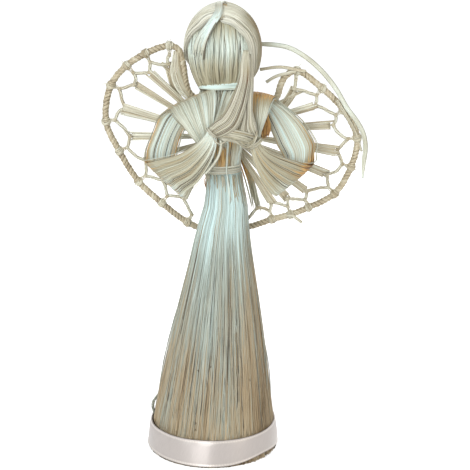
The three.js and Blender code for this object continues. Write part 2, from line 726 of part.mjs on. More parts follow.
makeBodice(upper);
const spines = [-1, 1].map((side) => ({ x: side * SPINE_SPREAD, rx: RIM_RADIUS, ry: RIM_RADIUS }));
const spinesAt = (z) => spines.map((s) => ({ ...s, y: spineAt(z) }));
const waist = { x: 0, y: 0, rx: WAIST_RADIUS, ry: WAIST_RADIUS };
add(upper, "waist_tie", winding("waist_tie", [waist, ...spinesAt(0)], 0, WAIST_TURNS), honeyFibre);
const chest = bodiceOvalAt(CHEST_TIE_HEIGHT + windingHeight(CHEST_TURNS) / 2);
const chestOvals = [chest, ...spinesAt(CHEST_TIE_HEIGHT)];
add(upper, "chest_tie", winding("chest_tie", chestOvals, CHEST_TIE_HEIGHT, CHEST_TURNS), honeyFibre);
makeHead(neck);
const neckOval = { x: 0, y: 0, rx: NECK_RADIUS, ry: NECK_RADIUS };
add(neck, "neck_tie", winding("neck_tie", [neckOval], -GAP, NECK_TURNS), paleFibre);
makeHair(neck);
makeCrownTie(neck);
makeArms(neck);
makeWing(upper, "left_wing", -1, LEFT_OUTLINE);
makeWing(upper, "right_wing", 1, RIGHT_OUTLINE);

// The origin is under the middle of the object without its loose strand, on the floor.
ornament.updateMatrixWorld(true);
const box = new THREE.Box3().setFromObject(ornament, true);
const middle = box.getCenter(vector());
makeStrand(upper);
ornament.position.set(-middle.x, -middle.y, -box.min.z);

export default ornament;
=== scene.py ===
# Abaca angel ornament: every bundle is drawn as real fibres laid over the imported CAD frame.
# Sizes are in millimetres until a mesh is made. Left and right are those of someone in front.
# A tone is a fibre's place on its material's colours: GAP for the shadow between fibres, about 0.2
# for honey, 0.5 for straw and 1 for the palest fibre, whose cool white is partly a painted highlight.
import json
import math

import bpy
import numpy as np
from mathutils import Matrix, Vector


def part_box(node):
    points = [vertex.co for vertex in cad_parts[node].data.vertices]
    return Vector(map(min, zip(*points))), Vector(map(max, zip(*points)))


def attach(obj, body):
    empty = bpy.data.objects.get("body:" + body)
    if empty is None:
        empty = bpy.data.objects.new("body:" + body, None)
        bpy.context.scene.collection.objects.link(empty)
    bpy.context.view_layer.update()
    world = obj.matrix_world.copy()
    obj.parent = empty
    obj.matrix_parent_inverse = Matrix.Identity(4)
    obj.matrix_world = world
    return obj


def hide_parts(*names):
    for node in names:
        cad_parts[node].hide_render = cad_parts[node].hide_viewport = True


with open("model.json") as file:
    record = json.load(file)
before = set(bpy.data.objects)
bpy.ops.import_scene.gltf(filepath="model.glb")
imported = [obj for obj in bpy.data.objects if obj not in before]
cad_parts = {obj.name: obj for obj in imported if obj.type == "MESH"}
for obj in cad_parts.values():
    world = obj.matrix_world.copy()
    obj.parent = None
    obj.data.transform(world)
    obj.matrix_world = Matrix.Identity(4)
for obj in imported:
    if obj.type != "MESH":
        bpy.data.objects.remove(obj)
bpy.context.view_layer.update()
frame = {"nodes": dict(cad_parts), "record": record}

MM = 0.001
TURN = 2 * math.pi
FRONT = -math.pi / 2
TO_FRONT = np.array([0, -1.0, 0])

# Sizes that are the same in the CAD model
SKIRT_HEIGHT = 114.0
SKIRT_BASE_RADIUS = 26.4
SKIRT_WALL = 1.5
SKIRT_BELL = 0.9
SKIRT_LEAN = 4.6
LINING_HEIGHT = 92.0
LINING_WALL = 0.6
LINING_LIFT = 0.8
LINING_GAP = 0.3
WAIST_RADIUS = 6.6
RIBBON_WIDTH = 10.0
RIBBON_OVERLAP = math.radians(28)
BODICE_HEIGHT = 32.0
SLEEVE_THICKNESS = 2.2
HAND_THICKNESS = 1.9
SPINE_SPREAD = 2.6
SPINE_BOTTOM = -25.0
SPINE_TOP = 25.5
ROOT_CENTRE = 12.4
ROOT_HEIGHT = 11.0
LACE_STEM = 3.6
LACE_INSET = 7.4
CLIMB_REACH = 0.74

# Sizes that differ a little from the CAD model, to leave room for fibres or to match the photo
RIBBON_THICKNESS = 0.4
NECK_PINCH = 8.5
HEAD_RADIUS = 13.1
HEAD_HEIGHT = 30.9
HAIR_THICKNESS = 1.8
RIM_RADIUS = 1.2
STRIP_WIDTH = 3.0

# Fibre sizes; each width is drawn between the two values of its pair
FIBRE_WIDTH = (0.22, 0.46)
FLAT_FIBRE_WIDTH = (0.9, 2.4)
FIBRE_THICKNESS = 0.22
# Share of its width that a fibre keeps at its tips
FIBRE_TIP = 0.35
# Lanes of the streaks: width of one, number to a millimetre of skin, and range that fibres start in
FIBRE_UNIT = 0.3
SKIN_LANES = 2.2
LANE_RANGE = 900

base = np.array([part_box("skirt")[0][0] / MM + SKIRT_BASE_RADIUS, 0.0, 0.0])
waist = base + (SKIRT_LEAN, 0, SKIRT_HEIGHT)
neck = waist + (0, 0, BODICE_HEIGHT)
rng = np.random.default_rng(17)


# Curves

def unit(v):
    return v / np.maximum(np.linalg.norm(v, axis=-1, keepdims=True), 1e-9)


def smooth(low, high, x):
    """Rises from 0 at low to 1 at high; it falls where low is the larger."""
    t = np.clip((np.asarray(x, float) - low) / (high - low), 0, 1)
    return t * t * (3 - 2 * t)


def bump_at(x, place, spread):
    return np.exp(-(((x - place) / spread) ** 2))


def ring_turns(count):
    return np.linspace(0, TURN, count, endpoint=False)


def turned_from(turn, middle):
    """The angle from a middle direction, between half a turn each way."""
    return np.mod(np.asarray(turn, float) - middle + math.pi, TURN) - math.pi


def spline(points, per_span, centripetal=True):
    """Catmull-Rom curve through the points, as the CAD model draws it."""
    p = np.asarray(points, float)
    p = np.vstack([2 * p[0] - p[1], p, 2 * p[-1] - p[-2]])
    s = np.linspace(0, 1, per_span, endpoint=False)[:, None]
    spans = []
    for i in range(1, len(p) - 2):
        p0, p1, p2, p3 = p[i - 1 : i + 3]
        if centripetal:
            d0, d1, d2 = (np.sqrt(np.linalg.norm(b - a)) for a, b in ((p0, p1), (p1, p2), (p2, p3)))
            m1 = d1 * ((p1 - p0) / d0 - (p2 - p0) / (d0 + d1) + (p2 - p1) / d1)
            m2 = d1 * ((p2 - p1) / d1 - (p3 - p1) / (d1 + d2) + (p3 - p2) / d2)
        else:
            m1 = (p2 - p0) / 2
            m2 = (p3 - p1) / 2
        a = 2 * p1 - 2 * p2 + m1 + m2
        b = -3 * p1 + 3 * p2 - 2 * m1 - m2
        spans.append(((a * s + b) * s + m1) * s + p1)
    return np.vstack(spans + [p[-2][None]])


def bezier(start, middle, end, share):
    """Points of a bend from start to end that is drawn towards middle; share is a column."""
    return (1 - share) ** 2 * start + 2 * share * (1 - share) * middle + share**2 * end


def travelled(points):
    """The way along a line to each of its points."""
    return np.concatenate([[0], np.cumsum(np.linalg.norm(np.diff(points, axis=0), axis=1))])


def evenly(points, count):
    """The same line as count points at equal steps."""
    at = travelled(points)
    wanted = np.linspace(0, at[-1], count)
    return np.stack([np.interp(wanted, at, column) for column in points.T], 1)


def wander(count, size, waves=1.5):
    """A slow random wave, for fibres that don't lie quite straight."""
    t = np.linspace(0, 1, count)
    first, second = rng.uniform(0, 1, 2)
    slow = np.sin(TURN * (waves * rng.uniform(0.5, 1) * t + first))
    fast = np.sin(TURN * (2.7 * waves * t + second))
    return size * (0.7 * slow + 0.3 * fast)


# Meshes

def add_object(name, data):
    made = bpy.data.objects.new(name, data)
    bpy.context.collection.objects.link(made)
    return made


def make_mesh(name, verts, faces, tone, uv, material, nodes, body):
    """A piece from points in millimetres and quads, with a tone and a UV for each point.

    It rides on the body and stands for the named CAD nodes, which it hides.
    """
    mesh = bpy.data.meshes.new(name)
    faces = np.asarray(faces, np.int32)
    mesh.vertices.add(len(verts))
    mesh.vertices.foreach_set("co", (np.asarray(verts, np.float32) * MM).ravel())
    mesh.loops.add(faces.size)
    mesh.loops.foreach_set("vertex_index", faces.ravel())
    mesh.polygons.add(len(faces))
    mesh.polygons.foreach_set("loop_start", np.arange(0, faces.size, 4, dtype=np.int32))
    mesh.polygons.foreach_set("use_smooth", np.ones(len(faces), bool))
    mesh.attributes.new("tone", "FLOAT", "POINT").data.foreach_set("value", np.asarray(tone, np.float32))
    layer = mesh.uv_layers.new(name="UVMap")
    layer.data.foreach_set("uv", np.asarray(uv, np.float32)[faces.ravel()].ravel())
    mesh.update(calc_edges=True)
    mesh.validate()
    mesh.materials.append(material)
    piece = add_object(name, mesh)
    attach(piece, body)
    if nodes:
        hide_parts(*nodes)
    return piece


class Fibres:
    """Collects fibres, each a closed four-sided tube that is flat on what it lies on."""

    def __init__(self):
        self.verts, self.faces, self.tones, self.uvs = [], [], [], []
        self.count = 0

    def add(self, points, normals, width, tone, thickness=FIBRE_THICKNESS, blunt=False):
        n = len(points)
        along = unit(np.gradient(points, axis=0))
        side = unit(np.cross(along, np.broadcast_to(normals, points.shape)))
        up = np.cross(side, along)
        taper = np.ones(n)
        if not blunt:
            taper[0] = taper[-1] = FIBRE_TIP
        half = side * (np.broadcast_to(width, n) * taper / 2)[:, None]
        rise = up * (np.broadcast_to(thickness, n) * taper / 2)[:, None]
        ring = np.stack([points + half, points + rise, points - half, points - rise], 1)
        index = self.count + np.arange(4 * n).reshape(n, 4)
        a, b = index[:-1], index[1:]
        walls = np.stack([a, b, np.roll(b, -1, 1), np.roll(a, -1, 1)], -1).reshape(-1, 4)
        self.faces.append(np.vstack([walls, index[0], index[-1][::-1]]))
        self.verts.append(ring.reshape(-1, 3))
        self.tones.append(np.repeat(np.broadcast_to(tone, n), 4))
        lanes = np.mean(width) / FIBRE_UNIT
        across = rng.uniform(0, LANE_RANGE) + lanes * np.array([0.0, 0.5, 1.0, 0.5])
        self.uvs.append(np.stack([np.tile(across, n), np.repeat(travelled(points), 4)], 1))
        self.count += 4 * n

    def build(self, name, material, slot, *nodes, body="figure"):
        verts, faces, uvs = (np.vstack(rows) for rows in (self.verts, self.faces, self.uvs))
        return make_mesh(name, verts, faces, np.concatenate(self.tones), uvs, material, nodes, body)


def skin(name, rings, tone, material, slot, *nodes, body="figure", closed_row=False):
    """A closed surface through even rings of points; its ends are capped, or joined if closed_row."""
    rings = np.asarray(rings, float)
    rows, count = rings.shape[:2]
    tone = np.broadcast_to(tone, (rows, count)).ravel()
    index = np.arange(rows * count).reshape(rows, count)
    lower = index if closed_row else index[:-1]
    upper = np.roll(index, -1, 0) if closed_row else index[1:]
    faces = np.stack([lower, np.roll(lower, -1, 1), np.roll(upper, -1, 1), upper], -1).reshape(-1, 4)
    verts = rings.reshape(-1, 3)
    across = np.cumsum(np.linalg.norm(np.roll(rings, -1, 1) - rings, axis=2), 1) * SKIN_LANES
    along = np.cumsum(np.linalg.norm(np.diff(rings, axis=0), axis=2), 0)
    uv = np.stack([across.ravel(), np.vstack([np.zeros(count), along]).ravel()], 1)
    if not closed_row:
        hub = len(verts)

        def cap(centre, row):
            return np.stack([np.full(count // 2, centre), row[::2], row[1::2], np.roll(row, -2)[::2]], 1)

        faces = np.vstack([faces, cap(hub, index[0])[:, [0, 3, 2, 1]], cap(hub + 1, index[-1])])
        verts = np.vstack([verts, rings[0].mean(0), rings[-1].mean(0)])
        tone = np.append(tone, tone[[0, -1]])
        uv = np.vstack([uv, uv[[0, -1]]])
    p = verts[faces]
    volume = sum((p[:, 0] * np.cross(p[:, k], p[:, k + 1])).sum() for k in (1, 2))
    if volume < 0:
        faces = faces[:, ::-1]
    return make_mesh(name, verts, faces, tone, uv, material, nodes, body)


# Materials

DARKEST = -0.5
GAP = -0.32
# The cool white at the top of these colours is partly a painted highlight; honey is the fibre's own colour
FIBRE_TONES = [
    (DARKEST, (62, 56, 44)), (-0.15, (112, 100, 78)), (0.0, (112, 80, 46)), (0.12, (164, 117, 64)),
    (0.26, (218, 176, 108)), (0.37, (182, 163, 127)), (0.54, (173, 168, 144)), (0.74, (208, 209, 192)),
    (1.0, (221, 239, 235)),
]
# The hair is greyer in its tan stretches and creamy where it is palest
HAIR_TONES = [
    (DARKEST, (62, 56, 44)), (-0.15, (112, 100, 78)), (0.0, (112, 80, 46)), (0.36, (163, 147, 114)),
    (0.54, (174, 169, 146)), (0.72, (202, 198, 180)), (0.86, (219, 215, 196)), (1.0, (233, 233, 218)),
]
# The face is olive below and cool where it shines
FACE_TONES = [
    (DARKEST, (62, 56, 44)), (-0.15, (112, 100, 78)), (0.3, (158, 144, 112)), (0.54, (179, 174, 148)),
    (0.76, (199, 205, 190)), (1.0, (223, 236, 228)),
]
# The wings are warmer, with no honey in their shadows
WING_TONES = [
    (DARKEST, (62, 56, 44)), (0.0, (120, 104, 80)), (0.3, (159, 145, 118)), (0.54, (188, 175, 147)),
    (0.74, (209, 203, 181)), (1.0, (228, 227, 211)),
]
# The skirt's middle tones are greyer and darker as painted shade, and its cool white top is a painted
# highlight
SKIRT_TONES = [
    (DARKEST, (54, 48, 38)), (-0.15, (104, 96, 80)), (0.0, (62, 46, 30)), (0.3, (150, 128, 94)),
    (0.45, (176, 159, 129)), (0.6, (160, 163, 149)), (0.8, (186, 198, 189)), (1.0, (217, 238, 236)),
]
SATIN = [(0, (164, 154, 149)), (1, (193, 185, 180))]
SATIN_STITCH = (226, 217, 207)
FELT = [(0, (176, 158, 122)), (1, (214, 200, 168))]
WIRE = [(0, (96, 92, 84)), (1, (146, 142, 132))]


def linear(colour):
    """Screen colour channels, 0 to 255, as linear light with full alpha."""
    channel = [c / 255 for c in colour]
    return [c / 12.92 if c <= 0.04045 else ((c + 0.055) / 1.055) ** 2.4 for c in channel] + [1.0]


def new_material(name):
    material = bpy.data.materials.new(name)
    material.use_nodes = True
    return material, material.node_tree


def feed(tree, node, inputs):
    """Sets a node's inputs, or links those that are given an output of another node."""
    for place, value in inputs.items():
        if isinstance(value, bpy.types.NodeSocket):
            tree.links.new(value, node.inputs[place])
        else:
            node.inputs[place].default_value = value


def add_node(tree, kind, inputs, **settings):
    node = tree.nodes.new("ShaderNode" + kind)
    for name, value in settings.items():
        setattr(node, name, value)
    feed(tree, node, inputs)
    return node


def paint(tree, inputs):
    feed(tree, tree.nodes["Principled BSDF"], inputs)


def streaks(tree, scale_across, scale_along, detail):
    """Noise drawn out along the fibre. U counts fibres across and V runs along them in millimetres."""
    uv = add_node(tree, "UVMap", {}, uv_map="UVMap").outputs["UV"]
    mapping = add_node(tree, "Mapping", {"Vector": uv, "Scale": (scale_across, scale_along, 1)})
    inputs = {"Vector": mapping.outputs["Vector"], "Scale": 1, "Detail": detail}
    return add_node(tree, "TexNoise", inputs).outputs["Fac"]


def grain(tree, scale, detail):
    """Even noise all through a piece."""
    place = add_node(tree, "TexCoord", {}).outputs["Object"]
    return add_node(tree, "TexNoise", {"Vector": place, "Scale": scale, "Detail": detail}).outputs["Fac"]


def tone_of_points(tree):
    return add_node(tree, "Attribute", {}, attribute_name="tone").outputs["Fac"]


def between(tree, value, low, high):
    """Maps a 0 to 1 value to the range low to high."""
    return add_node(tree, "MapRange", {"Value": value, "To Min": low, "To Max": high}).outputs["Result"]


def ramp(tree, value, stops):
    node = add_node(tree, "ValToRGB", {"Fac": value})
    elements = node.color_ramp.elements
    while len(elements) < len(stops):
        elements.new(0.5)
    for element, (place, colour) in zip(elements, stops):
        element.position = place
        element.color = linear(colour)
    return node.outputs["Color"]


def ridges(tree, height, strength, depth):
    inputs = {"Height": height, "Strength": strength, "Distance": depth * MM}
    return add_node(tree, "Bump", inputs).outputs["Normal"]


def spread_shine(tree, amount):
    """Draws highlights out across the fibres, as on silk and hair."""
    tangent = add_node(tree, "Tangent", {}, direction_type="UV_MAP", uv_map="UVMap")
    paint(tree, {"Tangent": tangent.outputs["Tangent"], "Anisotropic": amount})


def fibre_material(name, tones=FIBRE_TONES, roughness=(0.34, 0.6), spread=0.2, bump=0.35):
    """Dry abaca: each fibre has its own tone, with streaks, paler glossy stretches and fine ridges."""
    material, tree = new_material(name)
    streak = streaks(tree, 1.0, 0.05, 4)
    shift = between(tree, streak, -spread, spread)
    total = add_node(tree, "Math", {0: tone_of_points(tree), 1: shift}, operation="ADD").outputs["Value"]
    place = add_node(tree, "MapRange", {"Value": total, "From Min": DARKEST}).outputs["Result"]
    stops = [((tone - DARKEST) / (1 - DARKEST), colour) for tone, colour in tones]
    paint(tree, {
        "Base Color": ramp(tree, place, stops),
        "Roughness": between(tree, streak, roughness[1], roughness[0]),
        "Normal": ridges(tree, streaks(tree, 2.6, 0.12, 3), bump, 0.15),
        "Specular IOR Level": 0.6,
    })
    spread_shine(tree, 0.6)
    return material


def satin_material():
    """Satin ribbon: fine warp floats, a soft crosswise sheen and firm stitched edges."""
    material, tree = new_material("satin_ribbon")
    weft = streaks(tree, 0.12, 5.0, 3)
    inputs = {"Factor": tone_of_points(tree), "A": linear(SATIN_STITCH), "B": ramp(tree, weft, SATIN)}
    cloth = add_node(tree, "Mix", inputs, data_type="RGBA")
    paint(tree, {
        "Base Color": cloth.outputs["Result"],
        "Roughness": between(tree, weft, 0.28, 0.4),
        "Specular IOR Level": 1,
        "Metallic": 0.3,
        "Normal": ridges(tree, streaks(tree, 3.0, 5.5, 2), 0.25, 0.08),
    })
    spread_shine(tree, 0.85)
    return material


def felt_material():
    """The hidden stiffener inside the skirt and the head."""
    material, tree = new_material("stiff_felt")
    fuzz = grain(tree, 900, 4)
    colour = ramp(tree, fuzz, FELT)
    paint(tree, {"Base Color": colour, "Normal": ridges(tree, fuzz, 0.3, 0.2), "Roughness": 0.85})
    return material


def wire_material():
    """Plain florist wire, only seen at its cut ends."""
    material, tree = new_material("florist_wire")
    wear = grain(tree, 400, 2)
    colour = ramp(tree, wear, WIRE)
    paint(tree, {"Base Color": colour, "Roughness": between(tree, wear, 0.3, 0.5), "Metallic": 1})
    return material


fibre = fibre_material("abaca_fibre")
skirt_fibre = fibre_material("abaca_skirt", SKIRT_TONES, spread=0.15)
hair_fibre = fibre_material("abaca_hair", HAIR_TONES)
face_fibre = fibre_material("abaca_face", FACE_TONES)
twine = fibre_material("abaca_twine", WING_TONES, roughness=(0.4, 0.65), spread=0.24, bump=0.5)
satin = satin_material()
felt = felt_material()
wire = wire_material()


# Camera, floor and light

CAMERA_PLACE = (1.26, -420.0, 190.0)
CAMERA_PITCH_DOWN = math.radians(13.66)
FOCAL_PIXELS = 1087
FRAME_PIXELS = 470
SENSOR_WIDTH = 36.0
FLOOR_REACH = 12.0
FLOOR_GREY = 0.8
FLOOR_GLOW = 0.66
WHITE = (1, 1, 1, 1)
AMBIENT_COLOUR = (0.95, 0.98, 1.0, 1)
AMBIENT_STRENGTH = 0.54
LAMP_TARGET = Vector((0, 0, 0.1))
# Round soft lamps, in metres: name, place, size, power, colour
LAMPS = [
    ("key", (-0.3, -0.56, 0.44), 0.4, 2.15, (0.95, 0.99, 1.0)),
    ("front", (-0.16, -0.74, 0.1), 0.3, 2.0, (0.97, 0.985, 1.0)),
    ("fill", (0.6, -0.35, 0.25), 0.4, 0.8, (1.0, 0.9, 0.76)),
    ("back", (0.1, 0.6, 0.5), 0.5, 1.9, (1.0, 0.98, 0.95)),
]


def make_camera():
    camera = add_object("camera", bpy.data.cameras.new("camera"))
    camera.data.sensor_width = SENSOR_WIDTH
    camera.data.lens = SENSOR_WIDTH * FOCAL_PIXELS / FRAME_PIXELS
    camera.data.clip_start = 0.01
    camera.location = [c * MM for c in CAMERA_PLACE]
    camera.rotation_euler = (math.pi / 2 - CAMERA_PITCH_DOWN, 0, 0)
    bpy.context.scene.camera = camera


def seen_directly(tree):
    """1 for what the camera sees straight, in a mirror or through glass, and 0 for other light."""
    path = add_node(tree, "LightPath", {}).outputs
    total = path["Is Camera Ray"]
    for ray in ("Is Glossy Ray", "Is Transmission Ray"):
        total = add_node(tree, "Math", {0: total, 1: path[ray]}, operation="MAXIMUM").outputs["Value"]
    return total


def make_floor():
    """A pale floor, white to the camera except where the figure keeps the light off it."""
    mesh = bpy.data.meshes.new("floor")
    corners = [(FLOOR_REACH * x, FLOOR_REACH * y, 0) for x, y in ((-1, -1), (1, -1), (1, 1), (-1, 1))]
    mesh.from_pydata(corners, [], [(0, 1, 2, 3)])
    material, tree = new_material("pale_floor")
    glow = add_node(tree, "Math", {0: seen_directly(tree), 1: FLOOR_GLOW}, operation="MULTIPLY")
    paint(tree, {
        "Base Color": (FLOOR_GREY, FLOOR_GREY, FLOOR_GREY, 1),
        "Roughness": 0.9,
        "Emission Color": WHITE,
        "Emission Strength": glow.outputs["Value"],
    })
    mesh.materials.append(material)
    add_object("floor", mesh)


def make_light():
    """White surroundings for the camera, a cooler ambient light on the figure, and the lamps."""
    scene = bpy.context.scene
    scene.view_settings.view_transform = "Standard"
    scene.world = bpy.data.worlds.new("studio")
    scene.world.use_nodes = True
    tree = scene.world.node_tree
    ambient = tree.nodes["Background"]
    feed(tree, ambient, {"Color": AMBIENT_COLOUR, "Strength": AMBIENT_STRENGTH})
    white = add_node(tree, "Background", {"Color": WHITE})
    shown = {"Fac": seen_directly(tree), 1: ambient.outputs["Background"], 2: white.outputs["Background"]}
    seen = add_node(tree, "MixShader", shown)
    feed(tree, tree.nodes["World Output"], {"Surface": seen.outputs["Shader"]})
    for name, place, size, power, colour in LAMPS:
        light = bpy.data.lights.new(name, "AREA")
        light.shape = "DISK"
        light.size = size
        light.energy = power
        light.color = colour
        lamp = add_object(name, light)
        lamp.location = place
        lamp.rotation_euler = (LAMP_TARGET - Vector(place)).to_track_quat("-Z", "Y").to_euler()


# Skirt

SKIRT_FIBRES = 640
SKIRT_SHORT_FIBRES = 760
HEM_ENDS = 620
# Share of each kind of fibre, and the heights where fibres end behind the ribbon
SKIRT_KINDS = {"plain": 0.62, "gap": 0.26, "pale": 0.12}
SKIRT_FIBRE_FOOT = (9.2, 10.6)
# Scales share * (1 - share) ** 2 to 1 where it is largest
BELL_SCALE = 27 / 4
SKIRT_SLOPE = 0.17
SKIRT_HOLLOW = 0.75
SKIRT_SWAY = 1.3
SKIRT_FLAT = 1.2
SKIRT_INSIDE_TONE = 0.42
HEM_TONE = 0.46
RIBBON_SLIP = 1.7
RIBBON_SLACK = 0.5
RIBBON_OFF_SKIRT = 0.42
# Direction round the skirt where the ribbon's lower edge has slipped up most
SLIP_TURN = -0.72
# Stray hairs: direction round the skirt, top, foot, how far they stand off
SKIRT_STRAYS = (
    (3.2, 21.4, 12.2, 2.1), (3.12, 20.6, 12.6, 1.9), (3.16, 20, 13.2, 1.6), (3.05, 60, 20, 0.9),
    (-0.3, 70, 24, 0.8), (0.02, 44, 18, 0.8), (4.4, 95, 60, 0.7), (5.1, 88, 50, 0.6),
)
# Dark flecks of husk: direction and height
SKIRT_FLECKS = ((-1.69, 40), (-1.93, 38), (-1.86, 15), (-1.87, 17.5), (-0.9, 33), (0.6, 52), (2.2, 40))
FLECK_TONE = 0.04


def skirt_radius(z):
    share = np.asarray(z, float) / SKIRT_HEIGHT
    bow = BELL_SCALE * share * (1 - share) ** 2
    hollow = SKIRT_HOLLOW * smooth(0.45, 0.75, share) * smooth(1, 0.93, share)
    return SKIRT_BASE_RADIUS + (WAIST_RADIUS - SKIRT_BASE_RADIUS) * share + SKIRT_BELL * bow - hollow


def on_skirt(turn, z, lift):
    """Points on the leaning cone and their outward directions."""
    turn, z = np.broadcast_arrays(np.asarray(turn, float), np.asarray(z, float))
    out = np.stack([np.cos(turn), np.sin(turn), np.full(turn.shape, SKIRT_SLOPE)], -1)
    flat = SKIRT_FLAT * smooth(0.1, 1, np.cos(turn)) * smooth(2, 24, z) * smooth(96, 50, z)
    radius = skirt_radius(z) + lift - flat
    share = np.minimum(z / SKIRT_HEIGHT, 1)
    lean = SKIRT_LEAN * np.sin(share * math.pi / 2) + SKIRT_SWAY * bump_at(share, 0.9, 0.08)
    spot = np.stack([lean + radius * np.cos(turn), radius * np.sin(turn), z], -1)
    return base + spot, unit(out)


def skirt_tone(turn, z, shift=0.0):
    """Paler towards the waist and at the left front as painted highlight, grey in the middle as painted
    shade, tan towards the hem, darker at the right as painted shade and a little darker at the far left.
    """
    z = z + shift
    x = np.cos(turn)
    # Paler towards the waist: painted highlight
    height = 0.46 + 0.13 * smooth(22, 60, z) + 0.35 * smooth(66, 100, z)
    patches = 0.04 * np.sin(5 * turn + 1 + z / 17) + 0.04 * np.sin(11 * turn - z / 12)
    # Darker at the right: painted shade, with the light from the left
    right = 0.17 * smooth(0.3, 0.95, x) * smooth(112, 92, z)
    left = 0.05 * smooth(0.75, 1, -x) * smooth(96, 70, z)
    # Paler at the left front at middle heights: painted highlight
    painted_highlight = 0.08 * bump_at(x, -0.4, 0.3) * smooth(98, 66, z) * smooth(34, 62, z)
    return height + patches + painted_highlight - right - left


def make_skirt_shell():
    sides, rows = 480, 40
    turns = ring_turns(sides)
    strands = rng.normal(0, 0.06, sides) + 0.06 * np.sin(turns * 23) + 0.05 * np.sin(turns * 41 + 1)
    outer, inner, tone = [], [], []
    for z in np.linspace(0, SKIRT_HEIGHT, rows):
        fade = 0.3 + 0.7 * z / SKIRT_HEIGHT
        outer.append(on_skirt(turns, z, strands * fade - 0.12)[0])
        inner.append(on_skirt(turns, z, strands - SKIRT_WALL)[0])
        # The shell is darker than the fibres over it: painted shade in the gaps between them
        tone.append(skirt_tone(turns, z) - 0.1)
    tone = np.array(tone + [np.full(sides, SKIRT_INSIDE_TONE)] * rows)
    skin("skirt_shell", outer + inner[::-1], tone, skirt_fibre, "abaca_pale", "skirt", closed_row=True)


def make_skirt_fibres():
    """Fibres from the waist to the ribbon and shorter ones, some dark as painted shadow in the gaps and
    some pale.
    """
    strands = Fibres()
    count = 15
    for k in range(SKIRT_FIBRES + SKIRT_SHORT_FIBRES):
        top = SKIRT_HEIGHT + 1.4 if k < SKIRT_FIBRES else rng.uniform(28, SKIRT_HEIGHT - 6)
        z = np.linspace(top, rng.uniform(*SKIRT_FIBRE_FOOT), count)
        turn = rng.uniform(0, TURN) + wander(count, 0.014)
        settle = smooth(9, 22, z) * smooth(SKIRT_HEIGHT + 2, SKIRT_HEIGHT - 4, z)
        points, out = on_skirt(turn, z, 0.02 + rng.uniform(0, 0.26) * settle)
        width = rng.uniform(*FIBRE_WIDTH) * (0.6 + 0.4 * (1 - z / SKIRT_HEIGHT))
        tone = skirt_tone(turn, z, rng.normal(0, 6)) + rng.normal(0, 0.045) + wander(count, 0.04)
        kind = rng.choice(list(SKIRT_KINDS), p=list(SKIRT_KINDS.values()))
        cut = slice(0, count)
        if kind == "gap":
            # Gap fibres are painted shadow; near the waist they are paler, less so at the right, following
            # the painted highlight
            painted_gap_highlight = 0.86 - 0.3 * smooth(-0.5, 0.3, np.cos(turn))
            tone = GAP + painted_gap_highlight * smooth(66, 98, z) + rng.normal(0, 0.06)
            first = rng.integers(0, count - 4)
            cut = slice(first, min(count - 1, first + rng.integers(4, 9)))
        if kind == "pale":
            tone = tone + 0.14
        if kind != "plain":
            width = 0.7 * width
        strands.add(points[cut], out[cut], width[cut], tone[cut], 0.2)
    strands.build("skirt_fibres", skirt_fibre, "abaca_pale")


def make_hem_ends():
    """Cut ends under the ribbon, a few stray hairs and flecks of husk."""
    strands = Fibres()
    for k in range(HEM_ENDS):
        middle = rng.uniform(0, TURN)
        z = np.linspace(4.4, rng.uniform(0.0, 0.4), 6)
        turn = middle + wander(len(z), 0.006)
        flare = ribbon_rise(middle) * rng.uniform(0, 0.5) * smooth(3, 0, z)
        points, out = on_skirt(turn, z, rng.uniform(-0.05, 0.2) + flare)
        # Ends are dark as painted shadow under the ribbon, except where it has slipped up and they show
        tone = HEM_TONE * ribbon_rise(middle) / RIBBON_SLIP - 0.1 + rng.normal(0, 0.1)
        strands.add(points, out, rng.uniform(*FIBRE_WIDTH), tone, blunt=True)
    for middle, top, foot, bow in SKIRT_STRAYS:
        z = np.linspace(top, foot, 18)
        arch = np.sin(np.linspace(0, math.pi, len(z)))
        hairs, width = (6, 0.34) if bow > 1 else (3, 0.2)
        for k in range(hairs):
            turn = middle + wander(len(z), 0.04)
            points, out = on_skirt(turn, z, 0.12 + bow * rng.uniform(0.4, 1) * arch)
            strands.add(points, out, width, 0.62 + rng.normal(0, 0.08), 0.2)
    for middle, height in SKIRT_FLECKS:
        z = np.linspace(height + 0.5, height - 0.5, 4)
        points, out = on_skirt(middle + wander(len(z), 0.01), z, 0.34)
        strands.add(points, out, 0.38, FLECK_TONE, 0.2)
    strands.build("skirt_ends_and_strays", skirt_fibre, "abaca_pale")


def make_lining():
    """The stiff felt cone that keeps the hollow skirt in shape, seen only from below."""
    sides, rows = 160, 24
    turns = ring_turns(sides)
    heights = np.linspace(LINING_LIFT, LINING_HEIGHT, rows)
    fuzz = rng.normal(0, 0.05, (rows, sides)) - SKIRT_WALL - LINING_GAP
    outer = [on_skirt(turns, z, f)[0] for z, f in zip(heights, fuzz)]
    inner = [on_skirt(turns, z, f - LINING_WALL)[0] for z, f in zip(heights, fuzz)]
    rings = outer + inner[::-1]
    skin("skirt_lining_felt", rings, 0.5, felt, "stiffener", "skirt_lining", closed_row=True)


def ribbon_rise(turn):
    """How far the ribbon's lower edge has slipped up, most at the right of the front."""
    return RIBBON_SLIP * bump_at(turned_from(turn, SLIP_TURN), 0, 0.42)


